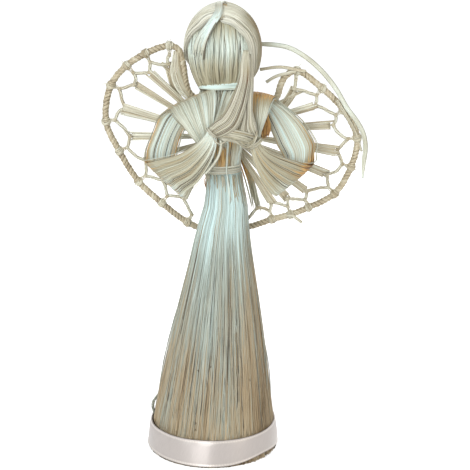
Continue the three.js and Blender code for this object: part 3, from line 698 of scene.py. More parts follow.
def make_ribbon():
    """Satin ribbon once round the hem, lapped over its start behind, with firm stitched edges."""
    steps, across = 320, 17
    whole = TURN + RIBBON_OVERLAP
    swept = np.linspace(0, whole, steps)
    climb = smooth(TURN - RIBBON_OVERLAP, TURN, swept) * (RIBBON_THICKNESS + 0.3)
    start = np.array([0, 0.025, 0.05, 0.075])
    share = np.concatenate([start, np.linspace(0.12, 0.88, across - 2 * len(start)), 1 - start[::-1]])
    edge = np.minimum(share, 1 - share)
    selvedge = 0.08 * smooth(0.06, 0.03, edge) - 0.05 * bump_at(edge, 0.07, 0.015)
    stitched = bump_at(edge, 0.06, 0.02)
    rings, tone = [], []
    for i, way in enumerate(swept):
        turn = math.pi / 2 - RIBBON_OVERLAP / 2 + way
        low = 0.75 + ribbon_rise(turn) + 0.2 * np.sin(turn * 2 + 0.6)
        top = 0.9 + RIBBON_WIDTH + 0.15 * np.sin(turn * 3)
        z = low + (top - low) * share
        belly = np.sin(math.pi * share) * (0.1 + 0.07 * np.sin(7 * way) + 0.05 * np.sin(17 * way + 1))
        slack = RIBBON_SLACK * smooth(0.75, 0.98, -np.cos(turn)) * smooth(0.2, 1, share)
        lift = RIBBON_OFF_SKIRT - 0.16 * smooth(0.85, 1, share) + climb[i] + belly + slack
        face = on_skirt(turn, z, lift + RIBBON_THICKNESS / 2 + selvedge)[0]
        back = on_skirt(turn, z, lift - RIBBON_THICKNESS / 2)[0]
        rings.append(np.vstack([face, back[::-1]]))
        stitch = stitched * (0.45 + 0.55 * (i % 2))
        tone.append(np.concatenate([1 - stitch, np.ones(across)]))
    ribbon = skin("hem_ribbon_satin", rings, np.array(tone), satin, "satin", "hem_ribbon")


# Bodice and ties

BODICE_FIBRES = 330
THROAT_FIBRES = 56
FAN_FIBRES = 96
BACK_WISP_FIBRES = 14
WAIST_FRINGE = 80
# One fibre in so many is dark, as painted shadow in a gap
BODICE_GAP_EVERY = 30
FAN_GAP_EVERY = 6
# Height above the waist, half width and half depth of the bodice
BODICE_OVALS = (
    (0, 6.6, 6.6), (5.5, 6.6, 6.6), (13, 8.4, 7.2), (21, 9.6, 7.6), (27.5, 9.6, 7.6), (32, 8.4, 8.4),
)
# How far the wing spines press the bodice in behind, and the room that the ties leave round them
SPINE_PRESS = 1.3
SPINE_ROOM = 0.24
WAIST_TIE_HEIGHT = 2
CHEST_TIE_HEIGHT = 20.8
# Direction of the honey fibres on the chest
HONEY_TURN = -1.65
# Pale fibres that hang over the waist tie: direction, top, foot
WAIST_STRANDS = ((-1.38, 15, -12), (-1.35, 13, -9))
# Honey fibres that hang from the waist tie behind the left of the skirt; their dark honey partly paints the
# shade there
BACK_WISP = np.array([(-4.9, 6.4, 1.5), (-6, 7.4, -2.4), (-6.6, 8.6, -6), (-6.7, 9.4, -10)])


def bodice_oval(z):
    heights, wide, deep = np.transpose(BODICE_OVALS)
    return np.interp(z, heights, wide), np.interp(z, heights, deep)


def on_bodice(turn, z, lift):
    wide, deep = bodice_oval(z)
    deep = deep - SPINE_PRESS * smooth(0.6, 0.9, np.sin(turn)) * smooth(6, 20, z)
    out = np.stack([np.cos(turn) / wide, np.sin(turn) / deep, 0 * z], -1)
    spot = np.stack([(wide + lift) * np.cos(turn), (deep + lift) * np.sin(turn), z], -1)
    return waist + spot, unit(out)


def make_bodice():
    sides = 96
    turns = ring_turns(sides)
    rings = [on_bodice(turns, np.full(sides, z), -0.15)[0] for z in np.linspace(-1, BODICE_HEIGHT, 26)]
    skin("bodice_core", rings, 0.62, fibre, "abaca_tan", "bodice")
    strands = Fibres()
    for k in range(BODICE_FIBRES):
        z = np.linspace(0.2, BODICE_HEIGHT - 0.2, 16)
        turn = rng.uniform(0, TURN) + wander(len(z), 0.06)
        points, out = on_bodice(turn, z, rng.uniform(0, 0.3))
        away = turned_from(turn, HONEY_TURN)
        # The honey is partly the fibres' colour and partly painted warm shade under the arms and the wrist
        # web
        honey = 0.58 * bump_at(away, 0, 0.6) * smooth(0, 3, z)
        honey = np.maximum(honey, 0.56 * bump_at(away, 0, 1) * smooth(5, 11, z))
        tone = 0.84 - honey + rng.normal(0, 0.08) if k % BODICE_GAP_EVERY else GAP
        strands.add(points, out, rng.uniform(*FIBRE_WIDTH), tone)
    add_throat(strands)
    add_fan(strands)
    strands.build("bodice_fibres", fibre, "abaca_tan")


def add_throat(strands):
    """Fibres that cross in a V under the throat."""
    share = np.linspace(0, 1, 14)
    for side in (-1, 1):
        for k in range(THROAT_FIBRES):
            z = np.linspace(BODICE_HEIGHT - 0.5, rng.uniform(9, 15), len(share))
            start = FRONT + side * rng.uniform(0.2, 0.95)
            turn = start + share * (FRONT - side * rng.uniform(-0.1, 0.25) - start)
            points, out = on_bodice(turn, z, 0.3 + rng.uniform(0, 0.4))
            strands.add(points, out, rng.uniform(*FIBRE_WIDTH), 0.7 + rng.normal(0, 0.12))


def add_fan(strands):
    """A fan from the throat to the left wrist, in front of the chest."""
    share = np.linspace(0, 1, 20)[:, None]
    for k in range(FAN_FIBRES):
        lane = rng.uniform(0, 1)
        x = -1.8 + 8.6 * lane
        start = np.array([x, -0.8 - math.sqrt(8.7**2 - (x - 1.2) ** 2), rng.uniform(-0.4, 0.6)])
        end = np.array([-3.8 + 3.4 * lane, -16.2 - lane, -13.4 + 2.2 * lane]) + rng.normal(0, 0.25, 3)
        middle = (start + end) / 2 + (0, -0.9 + rng.uniform(-0.3, 0.3), 0.6)
        tone = 0.74 + rng.normal(0, 0.09) - 0.12 * share[:, 0] if k % FAN_GAP_EVERY else GAP
        points = neck + bezier(start, middle, end, share)
        strands.add(points, np.array([[0, -1.0, 0.25]]), rng.uniform(*FIBRE_WIDTH), tone)


def make_waist_strand():
    """Pale fibres that hang from the chest over the waist tie, and honey ones behind."""
    strands = Fibres()
    count = 18
    for middle, top, foot in WAIST_STRANDS:
        z = np.linspace(top, foot, count)
        turn = middle + wander(count, 0.03)
        above, out = on_bodice(turn, np.maximum(z, 0.01), 0.9)
        below = on_skirt(turn, SKIRT_HEIGHT + np.minimum(z, 0), 0.5)[0]
        below = below + out * (0.45 * smooth(-5, 0, z))[:, None]
        points = np.where((z > 0)[:, None], above, below)
        strands.add(points, out, 0.5, 0.84 + wander(count, 0.05), 0.26)
    for k in range(BACK_WISP_FIBRES):
        line = waist + spline(BACK_WISP + rng.normal(0, 0.35, BACK_WISP.shape), 6)
        # Their dark honey is partly painted shade behind the waist
        strands.add(line, np.array([[-0.6, -0.8, 0]]), 0.4, 0.12 + rng.normal(0, 0.06), 0.26)
    strands.build("waist_loose_fibres", fibre, "abaca_pale")


def make_waist_fringe():
    """Short tan fibres that hang out of the waist tie over the top of the skirt, longer at the right."""
    strands = Fibres()
    for k in range(WAIST_FRINGE):
        middle = rng.uniform(0, TURN)
        hang = rng.uniform(2.5, 8) + rng.uniform(0, 9) * smooth(-0.2, 0.5, math.cos(middle))
        z = SKIRT_HEIGHT - np.linspace(0.6, hang, 10)
        points, out = on_skirt(middle + wander(len(z), 0.02), z, 0.32)
        strands.add(points, out, rng.uniform(*FIBRE_WIDTH), 0.52 + rng.normal(0, 0.1))
    strands.build("waist_fringe", hair_fibre, "abaca_tan")


def belt(ovals, count):
    """Evenly spaced points of the tightest loop round the ovals (x, y, half width, half depth)."""
    turns = np.linspace(0, TURN, 720)
    d = np.stack([np.cos(turns), np.sin(turns)], 1)
    best = np.zeros((len(turns), 2))
    reach = np.full(len(turns), -np.inf)
    for x, y, wide, deep in ovals:
        size = np.sqrt((wide * d[:, 0]) ** 2 + (deep * d[:, 1]) ** 2)
        spot = np.stack([x + wide**2 * d[:, 0] / size, y + deep**2 * d[:, 1] / size], 1)
        support = (spot * d).sum(1)
        best = np.where((support > reach)[:, None], spot, best)
        reach = np.maximum(reach, support)
    return evenly(np.vstack([best, best[:1]]), count)


def make_tie(node, slot, material, ovals, centre, bottom, turns, pitch, width, tone, lift=0.45, spread=0.1):
    """Twine of three fibres wound upwards round the ovals."""
    strands = Fibres()
    steps, lanes = 64, 3
    loop = belt([(x, y, wide + lift, deep + lift) for x, y, wide, deep in ovals], steps + 1)[:-1]
    count = int(turns * steps) + 1
    index = np.arange(count)
    spot = loop[index % steps]
    ahead = unit(np.roll(loop, -1, 0) - np.roll(loop, 1, 0))[index % steps]
    out = np.stack([ahead[:, 1], -ahead[:, 0], 0 * index], 1)
    for lane in range(lanes):
        offset = (lane + 0.5) / lanes - 0.5
        z = bottom + pitch * index / steps + offset * width + wander(count, 0.12, 5)
        points = centre + np.stack([spot[:, 0], spot[:, 1], z], 1) + out * wander(count, 0.07, 4)[:, None]
        shade = tone + spread * (lane - (lanes - 1) / 2) + rng.normal(0, 0.05) + wander(count, 0.1, 3)
        strands.add(points, out, 1.2 * width / lanes, shade, 0.4, blunt=True)
    strands.build(node + "_twine", material, slot, node)


def spine_ovals(z):
    """The wing spines behind the figure at a height above the waist."""
    joint = frame["record"]["behaviour"]["joints"][0]
    axis = joint["axis"]
    y = joint["pos_m"][1] / MM + z * axis[1] / axis[2]
    thick = RIM_RADIUS + SPINE_ROOM
    return [(side * SPINE_SPREAD, y, thick, thick) for side in (-1, 1)]


def make_ties():
    """Twine round the waist and chest, with the spines, and round the neck."""
    at_waist = [(0, 0, WAIST_RADIUS, WAIST_RADIUS)] + spine_ovals(WAIST_TIE_HEIGHT)
    at_chest = [(0, 0, *bodice_oval(CHEST_TIE_HEIGHT))] + spine_ovals(CHEST_TIE_HEIGHT)
    at_neck = [(0.4, -0.6, NECK_PINCH, NECK_PINCH)]
    low = CHEST_TIE_HEIGHT - 1.6
    make_tie(
        "waist_tie", "abaca_honey", hair_fibre, at_waist, waist, -0.7, 3.6, 1.05, 0.85, 0.86, spread=0.14,
    )
    make_tie("chest_tie", "abaca_honey", fibre, at_chest, waist, low, 2.5, 1.2, 1.0, 0.44)
    make_tie("neck_tie", "abaca_pale", fibre, at_neck, neck, 0.3, 4, 0.75, 0.9, 0.94, lift=1.25)


# Head and hair

# Height of the head's widest place above the neck
HEAD_MIDDLE = 15.0
FACE_RIBBONS = 118
FACE_FIBRES = 130
FACE_GAPS = 44
# Flat fibres are laid at every so many places, so that neighbours overlap in no order
FACE_STEP = 37
# The face's fibres fill this arc, from its left end
FACE_START = -math.pi - 0.75
FACE_ARC = math.pi + 1.3
HAIR_RIBBONS = 170
HAIR_FIBRES = 170
HAIR_GAPS = 48
# From 0 at the parting to 1 level with the ears and 2 at the neck
HAIR_SWING = np.concatenate([[-0.05], np.linspace(0.02, 2, 34)])
# Degrees behind the ear line where the parting and the last strands end
PARTING_END = 46
HAIR_BACK = 90
# Strands with a smaller share form the edge of the hairline; one in so many is laid on it
HAIRLINE = 0.03
HAIRLINE_EVERY = 6
# The band that comes over the crown and falls over the brow as a lock, from the neck
CROWN_LOCK = [
    (0.8, 9.6, 28), (0.6, 6, 31.2), (-0.5, 0, 32.9), (-1.1, -3.8, 32.3), (-1.1, -7, 31), (-1.3, -9.2, 29.5),
    (-2.2, -10.8, 27.8), (-3.6, -11.2, 25.8), (-4.8, -11.3, 24.1), (-6.8, -11.5, 21), (-8.2, -11.3, 17.9),
    (-8.8, -11, 15.2), (-9.1, -10.4, 12.2),
]
LOCK_WIDTHS = (1.6, 2.6, 3.2, 3.2, 3, 2.6, 2.4, 2.8, 3.4, 4.4, 5.2, 5.6, 5.8)
LOCK_FIBRES = 84
LOCK_GAP_EVERY = 14
# Little knots on the crown: place from the neck, half width, turns
CROWN_KNOTS = (((0.9, -5, 31.7), 0.7, 5), ((-1.1, -10.9, 27), 1.5, 9))
KNOT_TONES = (-0.2, 0.34, 0.5)


def head_radius(z, extra):
    """Radius of the head at a height above the neck, with extra all round; the tie pinches its foot."""
    z = np.asarray(z, float)
    cheek = HEAD_RADIUS + extra
    pinch = NECK_PINCH + extra
    side = np.clip(z / HEAD_MIDDLE, 0, 1)
    low = pinch + (cheek - pinch) * np.sin(side * math.pi / 2) ** 0.8
    dome = np.clip((z - HEAD_MIDDLE) / (HEAD_HEIGHT + extra - HEAD_MIDDLE), 0, 1)
    return np.where(z > HEAD_MIDDLE, cheek * np.sqrt(1 - dome**2), low)


def on_head(turn, z, extra):
    radius = head_radius(z, extra)
    spot = np.stack([radius * np.cos(turn), radius * np.sin(turn), z + 0 * turn], -1)
    up = np.clip((z - HEAD_MIDDLE) / (HEAD_HEIGHT - HEAD_MIDDLE), -0.4, 1)
    level = np.sqrt(1 - up**2)
    out = np.stack([np.cos(turn) * level, np.sin(turn) * level, up + 0 * turn], -1)
    return neck + spot, unit(out)


def make_head():
    """A ball and, over its face, flat fibres, fine fibres and short dark fibres of painted shadow in the
    gaps, from crown to neck.
    """
    turns = ring_turns(120)
    heights = 0.3 + (HEAD_HEIGHT - 0.5) * np.sin(np.linspace(0, 1, 40) * math.pi / 2) ** 0.9
    rings = [on_head(turns, z, -0.3)[0] for z in heights]
    skin("head_ball", rings, 0.4, fibre, "abaca_pale", "head_wrap", "head_core")
    strands = Fibres()
    count = 24
    z = -0.4 + (HEAD_HEIGHT - 0.4) * np.cos(np.linspace(0, 1, count) * math.pi / 2)
    # A painted highlight band across the face
    shine = bump_at(z, 16.5, 6)
    taper = 0.35 + 0.65 * head_radius(z, 0) / HEAD_RADIUS
    for k in range(FACE_RIBBONS + FACE_FIBRES + FACE_GAPS):
        wide = k < FACE_RIBBONS
        gap = k >= FACE_RIBBONS + FACE_FIBRES
        place = rng.uniform(0, 1)
        if wide:
            place = (k * FACE_STEP % FACE_RIBBONS + place) / FACE_RIBBONS
        turn = FACE_START + FACE_ARC * place + wander(count, 0.04)
        lift = rng.uniform(-0.1, 0.25) if wide else rng.uniform(0.2, 0.4)
        points, out = on_head(turn, z, lift + wander(count, 0.05))
        width = rng.uniform(*(FLAT_FIBRE_WIDTH if wide else FIBRE_WIDTH)) * taper * (0.6 if gap else 1)
        tone = 0.47 + 0.38 * shine + rng.normal(0, 0.05) + wander(count, 0.04)
        cut = slice(0, count)
        if gap:
            tone = GAP + rng.normal(0, 0.05) + wander(count, 0.06)
            first = rng.integers(1, 14)
            cut = slice(first, min(count, first + rng.integers(6, 16)))
        strands.add(points[cut], out[cut], width[cut], tone[cut])
    strands.build("face_fibres", face_fibre, "abaca_pale")


def on_hood(side, tilt, extra, comb):
    """A hair path: from the parting over the side of the head, then down and in under the neck tie.

    tilt is the angle from the side towards the back along the parting. comb runs from 0 for hair
    that lies round the head to 1 for hair drawn straight back and down.
    """
    over = np.minimum(HAIR_SWING, 1) * math.pi / 2
    fall = np.clip(HAIR_SWING - 1, 0, 1)
    way = np.stack([side * np.cos(tilt) * np.sin(over), np.sin(tilt), np.cos(tilt) * np.cos(over)], -1)
    drawn = np.clip(HAIR_SWING, 0, 1)[:, None]
    ears = way[np.argmax(HAIR_SWING >= 1)] if comb else way[-1]
    way = unit((1 - comb) * way + comb * unit((1 - drawn) * way[0] + drawn * ears))
    extra = extra + (0.35 - extra) * smooth(0.45, 0.95, fall)
    cheek = HEAD_RADIUS + extra
    crown = HEAD_HEIGHT - HEAD_MIDDLE + extra
    level = HEAD_MIDDLE - fall * (HEAD_MIDDLE + 0.2)
    lower = head_radius(level, extra) / cheek
    spot = np.stack([cheek * lower * way[:, 0], cheek * lower * way[:, 1], level + crown * way[:, 2]], -1)
    out = way - np.outer(0.3 * fall, [0, 0, 1])
    return neck + spot, unit(out)


def hair_tilt(side, share):
    """Angle behind the ear line: the hairline at share 0, the middle of the back at share 1.

    The parting ends above the back of the head, so the last strands sweep back and down from it.
    """
    if side < 0:
        recede = 4 * smooth(0, 0.4, HAIR_SWING) + 24 * smooth(0.45, 1, HAIR_SWING)
        recede = recede + 40 * smooth(0.85, 1.5, HAIR_SWING)
        start = -40
    else:
        recede = 8 * smooth(0.4, 1, HAIR_SWING) + 16 * smooth(1.1, 2, HAIR_SWING)
        start = -46
    last = PARTING_END + (HAIR_BACK - PARTING_END) * smooth(0, 1, HAIR_SWING)
    return np.radians(start + recede * (1 - share) + (last - start) * share)


def hair_comb(share):
    return float(smooth(0.4, 0.95, share))


def hair_tone(side, share):
    """The left side is pale all over; the right is pale at the hairline, a painted sheen, then tan, and
    even behind.
    """
    crown = 0.14 * smooth(0.6, 0.2, HAIR_SWING)
    if side < 0:
        return 0.79 + crown - 0.14 * smooth(1, 2, HAIR_SWING)
    tan = 0.28 * smooth(0.02, 0.14, share) * smooth(0.25, 0.6, HAIR_SWING)
    tan = tan + 0.1 * smooth(0.9, 1.7, HAIR_SWING) * smooth(0.08, 0.2, share)
    behind = 0.16 * smooth(1, 2, HAIR_SWING) * smooth(0.6, 0.95, share)
    return 0.78 + crown - tan * smooth(0.95, 0.6, share) - behind


def make_hair(name, side):
    """One half of the hood: a cap, and flat and fine fibres, every sixth of them on the hairline."""
    loops = []
    for share in np.linspace(0.01, 1, 40):
        tilt, comb = hair_tilt(side, share), hair_comb(share)
        top = on_hood(side, tilt, HAIR_THICKNESS - 0.5, comb)[0]
        under = on_hood(side, tilt, 0.3, comb)[0]
        loops.append(np.vstack([top, under[::-1]]))
    skin(name + "_cap", loops, 0.3, fibre, "abaca_pale", name)
    strands = Fibres()
    count = len(HAIR_SWING)
    for k in range(HAIR_RIBBONS + HAIR_FIBRES + HAIR_GAPS):
        wide = k < HAIR_RIBBONS
        gap = k >= HAIR_RIBBONS + HAIR_FIBRES
        share = rng.uniform(0, 1) if k % HAIRLINE_EVERY else 0.0
        tilt = hair_tilt(side, share) + wander(count, 0.03)
        lift = HAIR_THICKNESS - 0.25 + (rng.uniform(-0.2, 0.15) if wide else rng.uniform(-0.1, 0.3))
        if share < HAIRLINE:
            lift = rng.uniform(0.1, HAIR_THICKNESS)
            tilt = tilt - rng.uniform(0, 0.03)
            gap = gap or lift < 0.32
        points, out = on_hood(side, tilt, lift, hair_comb(share))
        width = rng.uniform(*(FLAT_FIBRE_WIDTH if wide else FIBRE_WIDTH))
        width = width * (1 - 0.45 * smooth(1.2, 2, HAIR_SWING))
        tone = hair_tone(side, share) + rng.normal(0, 0.07) + wander(count, 0.05)
        # Gap fibres are darker as painted shade; the low ones on the hairline are painted shadow under the
        # hair's edge
        if gap:
            width = 0.5 * width
            tone = GAP if share < HAIRLINE else tone - 0.26
        strands.add(points, out, width, tone)
    strands.build(name + "_fibres", hair_fibre, "abaca_pale")


def make_crown_tie():
    """A pale band over the parting that falls over the brow as a lock, and two little honey knots."""
    strands = Fibres()
    count = 48
    line = evenly(spline(CROWN_LOCK, 10), count)
    share = np.linspace(0, 1, count)
    wide = np.interp(share, np.linspace(0, 1, len(LOCK_WIDTHS)), LOCK_WIDTHS)
    out = unit(line - (0, 0, HEAD_MIDDLE))
    side = unit(np.cross(unit(np.gradient(line, axis=0)), out))
    fade = 0.08 * smooth(0.5, 0.6, share) - 0.24 * smooth(0.65, 1, share)
    tone = 0.84 - 0.2 * bump_at(share, 0.42, 0.06) + fade
    for k in range(LOCK_FIBRES):
        lane = rng.uniform(-0.5, 0.5)
        arch = (0.55 - 0.4 * share) * (1 - (2 * lane) ** 2) + rng.uniform(-0.1, 0.1)
        shift = side * (lane * wide + wander(count, 0.08))[:, None] + out * (arch - 0.2)[:, None]
        cut = slice(0, count - rng.integers(0, 22))
        shade = tone + rng.normal(0, 0.06) if k % LOCK_GAP_EVERY else np.full(count, GAP)
        strands.add((neck + line + shift)[cut], out[cut], rng.uniform(0.35, 0.8), shade[cut])
    angle = np.linspace(0, TURN, 14)
    for middle, reach, turns in CROWN_KNOTS:
        around = np.stack([reach * np.cos(angle), 0.3 * np.sin(2 * angle), 0.3 * np.sin(angle)], 1)
        for k in range(turns):
            points = neck + middle + rng.normal(0, 0.3, 3) + around
            shade = KNOT_TONES[k % len(KNOT_TONES)] + rng.normal(0, 0.05)
            strands.add(points, np.array([[0, -0.9, 0.45]]), 0.22, shade)
    strands.build("crown_tie_fibres", fibre, "abaca_pale", "crown_tie")


# Sleeves and hands

# Stations from the neck: place x, y and z, the x and z of the way from the outer to the inner edge, width
LEFT_SLEEVE = [
    (-6.2, -15.6, -20.4, 0.7, 0.7, 5), (-6.9, -14.5, -16.5, 0.78, 0.63, 7.8),
    (-8, -15.6, -11.6, 0.89, 0.45, 11.7), (-9.5, -13.5, -6.6, 0.91, 0.41, 16.5),
    (-11.4, -8.5, -3.5, 0.91, 0.41, 18.6), (-15.9, -4, -7, 0.94, 0.34, 16),
    (-20.5, -2, -14.9, 1, -0.05, 11), (-23.3, -3.2, -22.3, 1, -0.02, 11.4),
    (-24.1, -5.8, -27.7, 0.94, -0.35, 11.6), (-22.2, -10, -33.4, 0.71, -0.7, 18.3),
    (-18.4, -13.4, -31.3, 0.67, -0.74, 15.9), (-13, -15.2, -28.5, 0.6, -0.8, 12.9),
    (-8, -16.8, -23.5, 0.62, -0.79, 9.6), (-4.7, -17.8, -18.6, 0.66, -0.75, 6.6),
    (-3.6, -18.2, -14.8, 0.66, -0.75, 4.6),
]
RIGHT_SLEEVE = [
    (13.2, -15.6, -21.6, -1, 0, 2.2), (13, -12, -16.3, -1, 0, 2.6),
    (13.7, -13.6, -8.8, -1, 0.06, 5.6), (14.6, -10.6, -2, -0.98, 0.18, 9.2),
    (17.6, -4, -4.2, -0.97, 0.22, 9.6), (23.5, -2, -12.1, -1, -0.03, 12.9),
    (28, -3.3, -20.5, -1, -0.03, 14.9), (29.6, -5.6, -26.3, -0.95, -0.3, 12),
    (27.2, -9.6, -33.9, -0.74, -0.67, 17.7), (21.5, -13.2, -30.8, -0.68, -0.74, 14.2),
    (17.1, -15.4, -27, -0.68, -0.73, 9.9), (14, -17.2, -23.1, -0.75, -0.66, 6.2),
    (12.1, -18.2, -19.2, -0.8, -0.6, 4.2),
]
LEFT_HAND = [
    (-4.6, -18.2, -15.2, 0.65, -0.76, 3.4), (-1.2, -19.4, -13.1, 0.55, -0.83, 6.2),
    (2.7, -20, -10.3, 0.78, -0.63, 6.6), (5.4, -20.4, -5, 0.81, -0.58, 5.8),
    (7.1, -20.5, 0.3, 0.92, -0.38, 4.6), (8.3, -20.5, 5.9, 0.98, -0.19, 3.9),
    (8.4, -20.4, 11, 1, 0, 3.4), (8.7, -20.2, 16, 1, 0, 1.8),
]
RIGHT_HAND = [
    (11.5, -18.2, -17.2, -0.51, -0.86, 6.1), (9.3, -18.4, -12.9, -0.8, -0.59, 6.9),
    (9.4, -18.5, -8, -0.86, -0.51, 4), (9.4, -18.6, -2.3, -0.97, -0.23, 3.4),
    (9.8, -18.6, 3.2, -1, 0, 3.2), (9.9, -18.5, 8.7, -1, 0, 2.9),
    (9.6, -18.4, 14.5, -1, 0, 1.7),
]
# Honey fibres behind the opening of the right sleeve
RIGHT_LINING = [
    (14.6, -3.6, -5.5, -1, 0.2, 4.6), (14.8, -4.6, -10, -1, 0.1, 5.2),
    (15.4, -6.4, -14.3, -0.98, -0.2, 5.6), (15.4, -8.6, -18.2, -0.94, -0.34, 4.4),
]
# How much of a hank's thickness and width its core takes, and the core's dark tone, painted shade that
# shows between the fibres
CORE_SHARE = 0.7
CORE_WIDTH = 0.93
CORE_TONE = -0.12
# A thread from wrist to wrist, and a pale strand that hangs from the left wrist, from the neck
WRIST_THREAD = [
    (-3.5, -21.2, -16.4), (-1.2, -21.6, -18.2), (2.3, -21.8, -16.8), (4.9, -21.8, -17.2),
    (6.8, -21.8, -18.6), (9.1, -21.4, -19.6), (11.6, -21, -18.1), (13.1, -20.2, -14.8),
]
WRIST_STRAND = [
    (-0.6, -19.2, -17), (-0.5, -19.6, -19.9), (-1.9, -19, -24.1), (-3.9, -18.4, -27.1), (-6.6, -17, -30.5),
]
WRIST_WEB = 64
WEB_GAP_EVERY = 9


class Band:
    """A flat hank of fibre through stations, sampled at equal shares."""

    def __init__(self, stations, samples):
        line = spline(stations, 24, centripetal=False)
        pick = np.linspace(0, len(line) - 1, samples)
        x, y, z, across_x, across_z, width = (np.interp(pick, np.arange(len(line)), row) for row in line.T)
        self.centre = neck + np.stack([x, y, z], 1)
        self.across = unit(np.stack([across_x, 0 * x, across_z], 1))
        self.out = unit(np.cross(unit(np.gradient(self.centre, axis=0)), self.across))
        self.half = width / 2
        self.share = np.linspace(0, 1, samples)

    def at(self, u, rise):
        """Points at u from -1 at the outer edge to 1 at the inner edge, raised off the middle."""
        u = np.broadcast_to(u, self.half.shape)
        rise = np.broadcast_to(rise, self.half.shape)
        return self.centre + self.across * (u * self.half)[:, None] + self.out * rise[:, None]


def make_hank(name, stations, thickness, per_face, tone_of, depth_of, samples, loose, clumps, material):
    """A solid hank with clumped fibres on both faces and a few that have come loose at the edges."""
    band = Band(stations, samples)
    thickness = thickness * (0.25 + 0.75 * smooth(0, 0.1, band.share) * smooth(1, 0.8, band.share))
    turn = ring_turns(24)
    rings = [
        band.centre[i]
        + np.outer(CORE_WIDTH * np.cos(turn) * band.half[i], band.across[i])
        + np.outer(CORE_SHARE * np.sin(turn) * thickness[i] / 2, band.out[i])
        for i in range(1, samples - 1)
    ]
    nodes = [name] if name in frame["nodes"] else []
    skin(name + "_core", rings, CORE_TONE, material, "abaca_pale", *nodes)
    strands = Fibres()
    slim = 0.55 + 0.45 * band.half / band.half.max()

    def lay(face, u, lift, width, tone):
        u = np.clip(u, -1.03, 1.03)
        crown = np.sqrt(np.maximum(1 - u**2, 0.02)) * thickness / 2
        points = band.at(u, face * (CORE_SHARE * crown + lift * thickness / thickness.max()))
        cut = slice(rng.integers(0, 3), samples - rng.integers(0, 3))
        strands.add(points[cut], (band.out * face)[cut], (width * slim)[cut], tone[cut])

    for face in (-1, 1):
        middles = np.linspace(-0.96, 0.96, clumps) + rng.normal(0, 0.3 / clumps, clumps)
        heights = rng.uniform(0, 0.22, clumps)
        shades = rng.normal(0, 0.04, clumps)
        for k in range(per_face):
            clump = k % clumps
            u = middles[clump] + rng.normal(0, 0.55 / clumps) + wander(samples, 0.4 / clumps)
            tone = tone_of(band.share, u) + shades[clump] + rng.normal(0, 0.07) + wander(samples, 0.05)
            lay(face, u, heights[clump] + rng.uniform(0.02, 0.25), rng.uniform(*FIBRE_WIDTH), tone)
        for clump in range(0, clumps - 1, 2):
            u = (middles[clump] + middles[clump + 1]) / 2 + wander(samples, 0.25 / clumps)
            deep = depth_of(band.share, rng.uniform())
            tone = tone_of(band.share, u) * (1 - deep) + GAP * deep
            tone = tone + rng.normal(0, 0.05) + wander(samples, 0.05)
            lay(face, u, rng.uniform(0.28, 0.44), rng.uniform(0.18, 0.36), tone)
    for k in range(loose):
        first = rng.integers(2, samples // 2)
        cut = slice(first, min(samples - 2, first + rng.integers(8, 20)))
        edge = rng.choice([-1, 1])
        bow = np.sin(math.pi * band.share) * rng.uniform(0.02, 0.1)
        u = edge * (1 + rng.uniform(0.01, 0.06) + bow) + wander(samples, 0.03)
        points = band.at(u, rng.uniform(-0.4, 0.4))[cut]
        strands.add(points, band.out[cut], 0.22, 0.6 + rng.normal(0, 0.14), 0.16)
    strands.build(name + "_fibres", material, "abaca_pale")


# Tones along and across each hank: share runs from its start to its end, u from edge to edge

def left_sleeve_tone(share, u):
    """Pale on the panel and the outer curve, honey at the folds, inside the loop and at the edges."""
    folds = 0.4 * bump_at(share, 0.304, 0.034) + 0.42 * bump_at(share, 0.638, 0.037) * smooth(0.4, -0.4, u)
    curve = smooth(0.33, 0.41, share) * smooth(0.65, 0.57, share)
    edges = 0.5 * smooth(0.5, 1, u) + 0.52 * smooth(0.62, 1, -u)
    panel = 0.1 * smooth(0.29, 0.24, share)
    forearm = 0.3 * smooth(0.64, 0.72, share) * smooth(0.98, 0.8, share)
    return 0.86 - folds - edges * curve - panel - forearm


def right_sleeve_tone(share, u):
    """As on the left, with a bright honey shoulder that runs down its inner edge."""
    panel = smooth(0.33, 0.26, share)
    shoulder = 0.54 * bump_at(share, 0.262, 0.05) + 0.36 * smooth(0.1, 0.9, u) * panel
    elbow = 0.56 * bump_at(share, 0.66, 0.05) * smooth(0.3, -0.5, u)
    curve = smooth(0.36, 0.54, share) * smooth(0.72, 0.63, share)
    edges = 0.42 * smooth(0.4, 1, -u) + 0.2 * smooth(0.7, 1, u)
    forearm = 0.27 * smooth(0.65, 0.76, share)
    return 0.81 - np.minimum(shoulder, 0.52) - elbow - edges * curve - 0.06 * panel - forearm


def hand_tone(share, u):
    return 0.6 + 0.04 * smooth(0.1, 0.5, share) + 0 * u


def lining_tone(share, u):
    return 0.25 - 0.08 * share + 0 * u


# How deep the dark lines between the clumps are along each hank: 0 for none, 1 for full shadow

def sleeve_lines(share, chance):
    forearm = smooth(0.64, 0.69, share) * (chance < 0.45)
    loop = smooth(0.34, 0.39, share) * smooth(0.64, 0.6, share) * (chance > 0.5)
    return np.maximum(0.1 + 0.2 * loop, np.maximum(forearm, chance < 0.2))


def hand_lines(share, chance):
    return 0.9 - 0.8 * smooth(0.6, 0.9, share)


def lining_lines(share, chance):
    return 0.1 + 0 * share


def make_arms():
    sleeve, hand = SLEEVE_THICKNESS, HAND_THICKNESS
    # Name, stations, thickness, fibres on a face, tones, lines, samples, loose fibres, clumps, material
    hanks = [
        ("left_sleeve", LEFT_SLEEVE, sleeve, 240, left_sleeve_tone, sleeve_lines, 42, 14, 44, fibre),
        ("right_sleeve", RIGHT_SLEEVE, sleeve, 228, right_sleeve_tone, sleeve_lines, 42, 12, 40, fibre),
        ("left_hand", LEFT_HAND, hand, 96, hand_tone, hand_lines, 30, 3, 26, hair_fibre),
        ("right_hand", RIGHT_HAND, hand, 84, hand_tone, hand_lines, 30, 3, 24, hair_fibre),
        ("right_sleeve_lining", RIGHT_LINING, hand, 70, lining_tone, lining_lines, 20, 0, 8, fibre),
    ]
    for hank in hanks:
        make_hank(*hank)


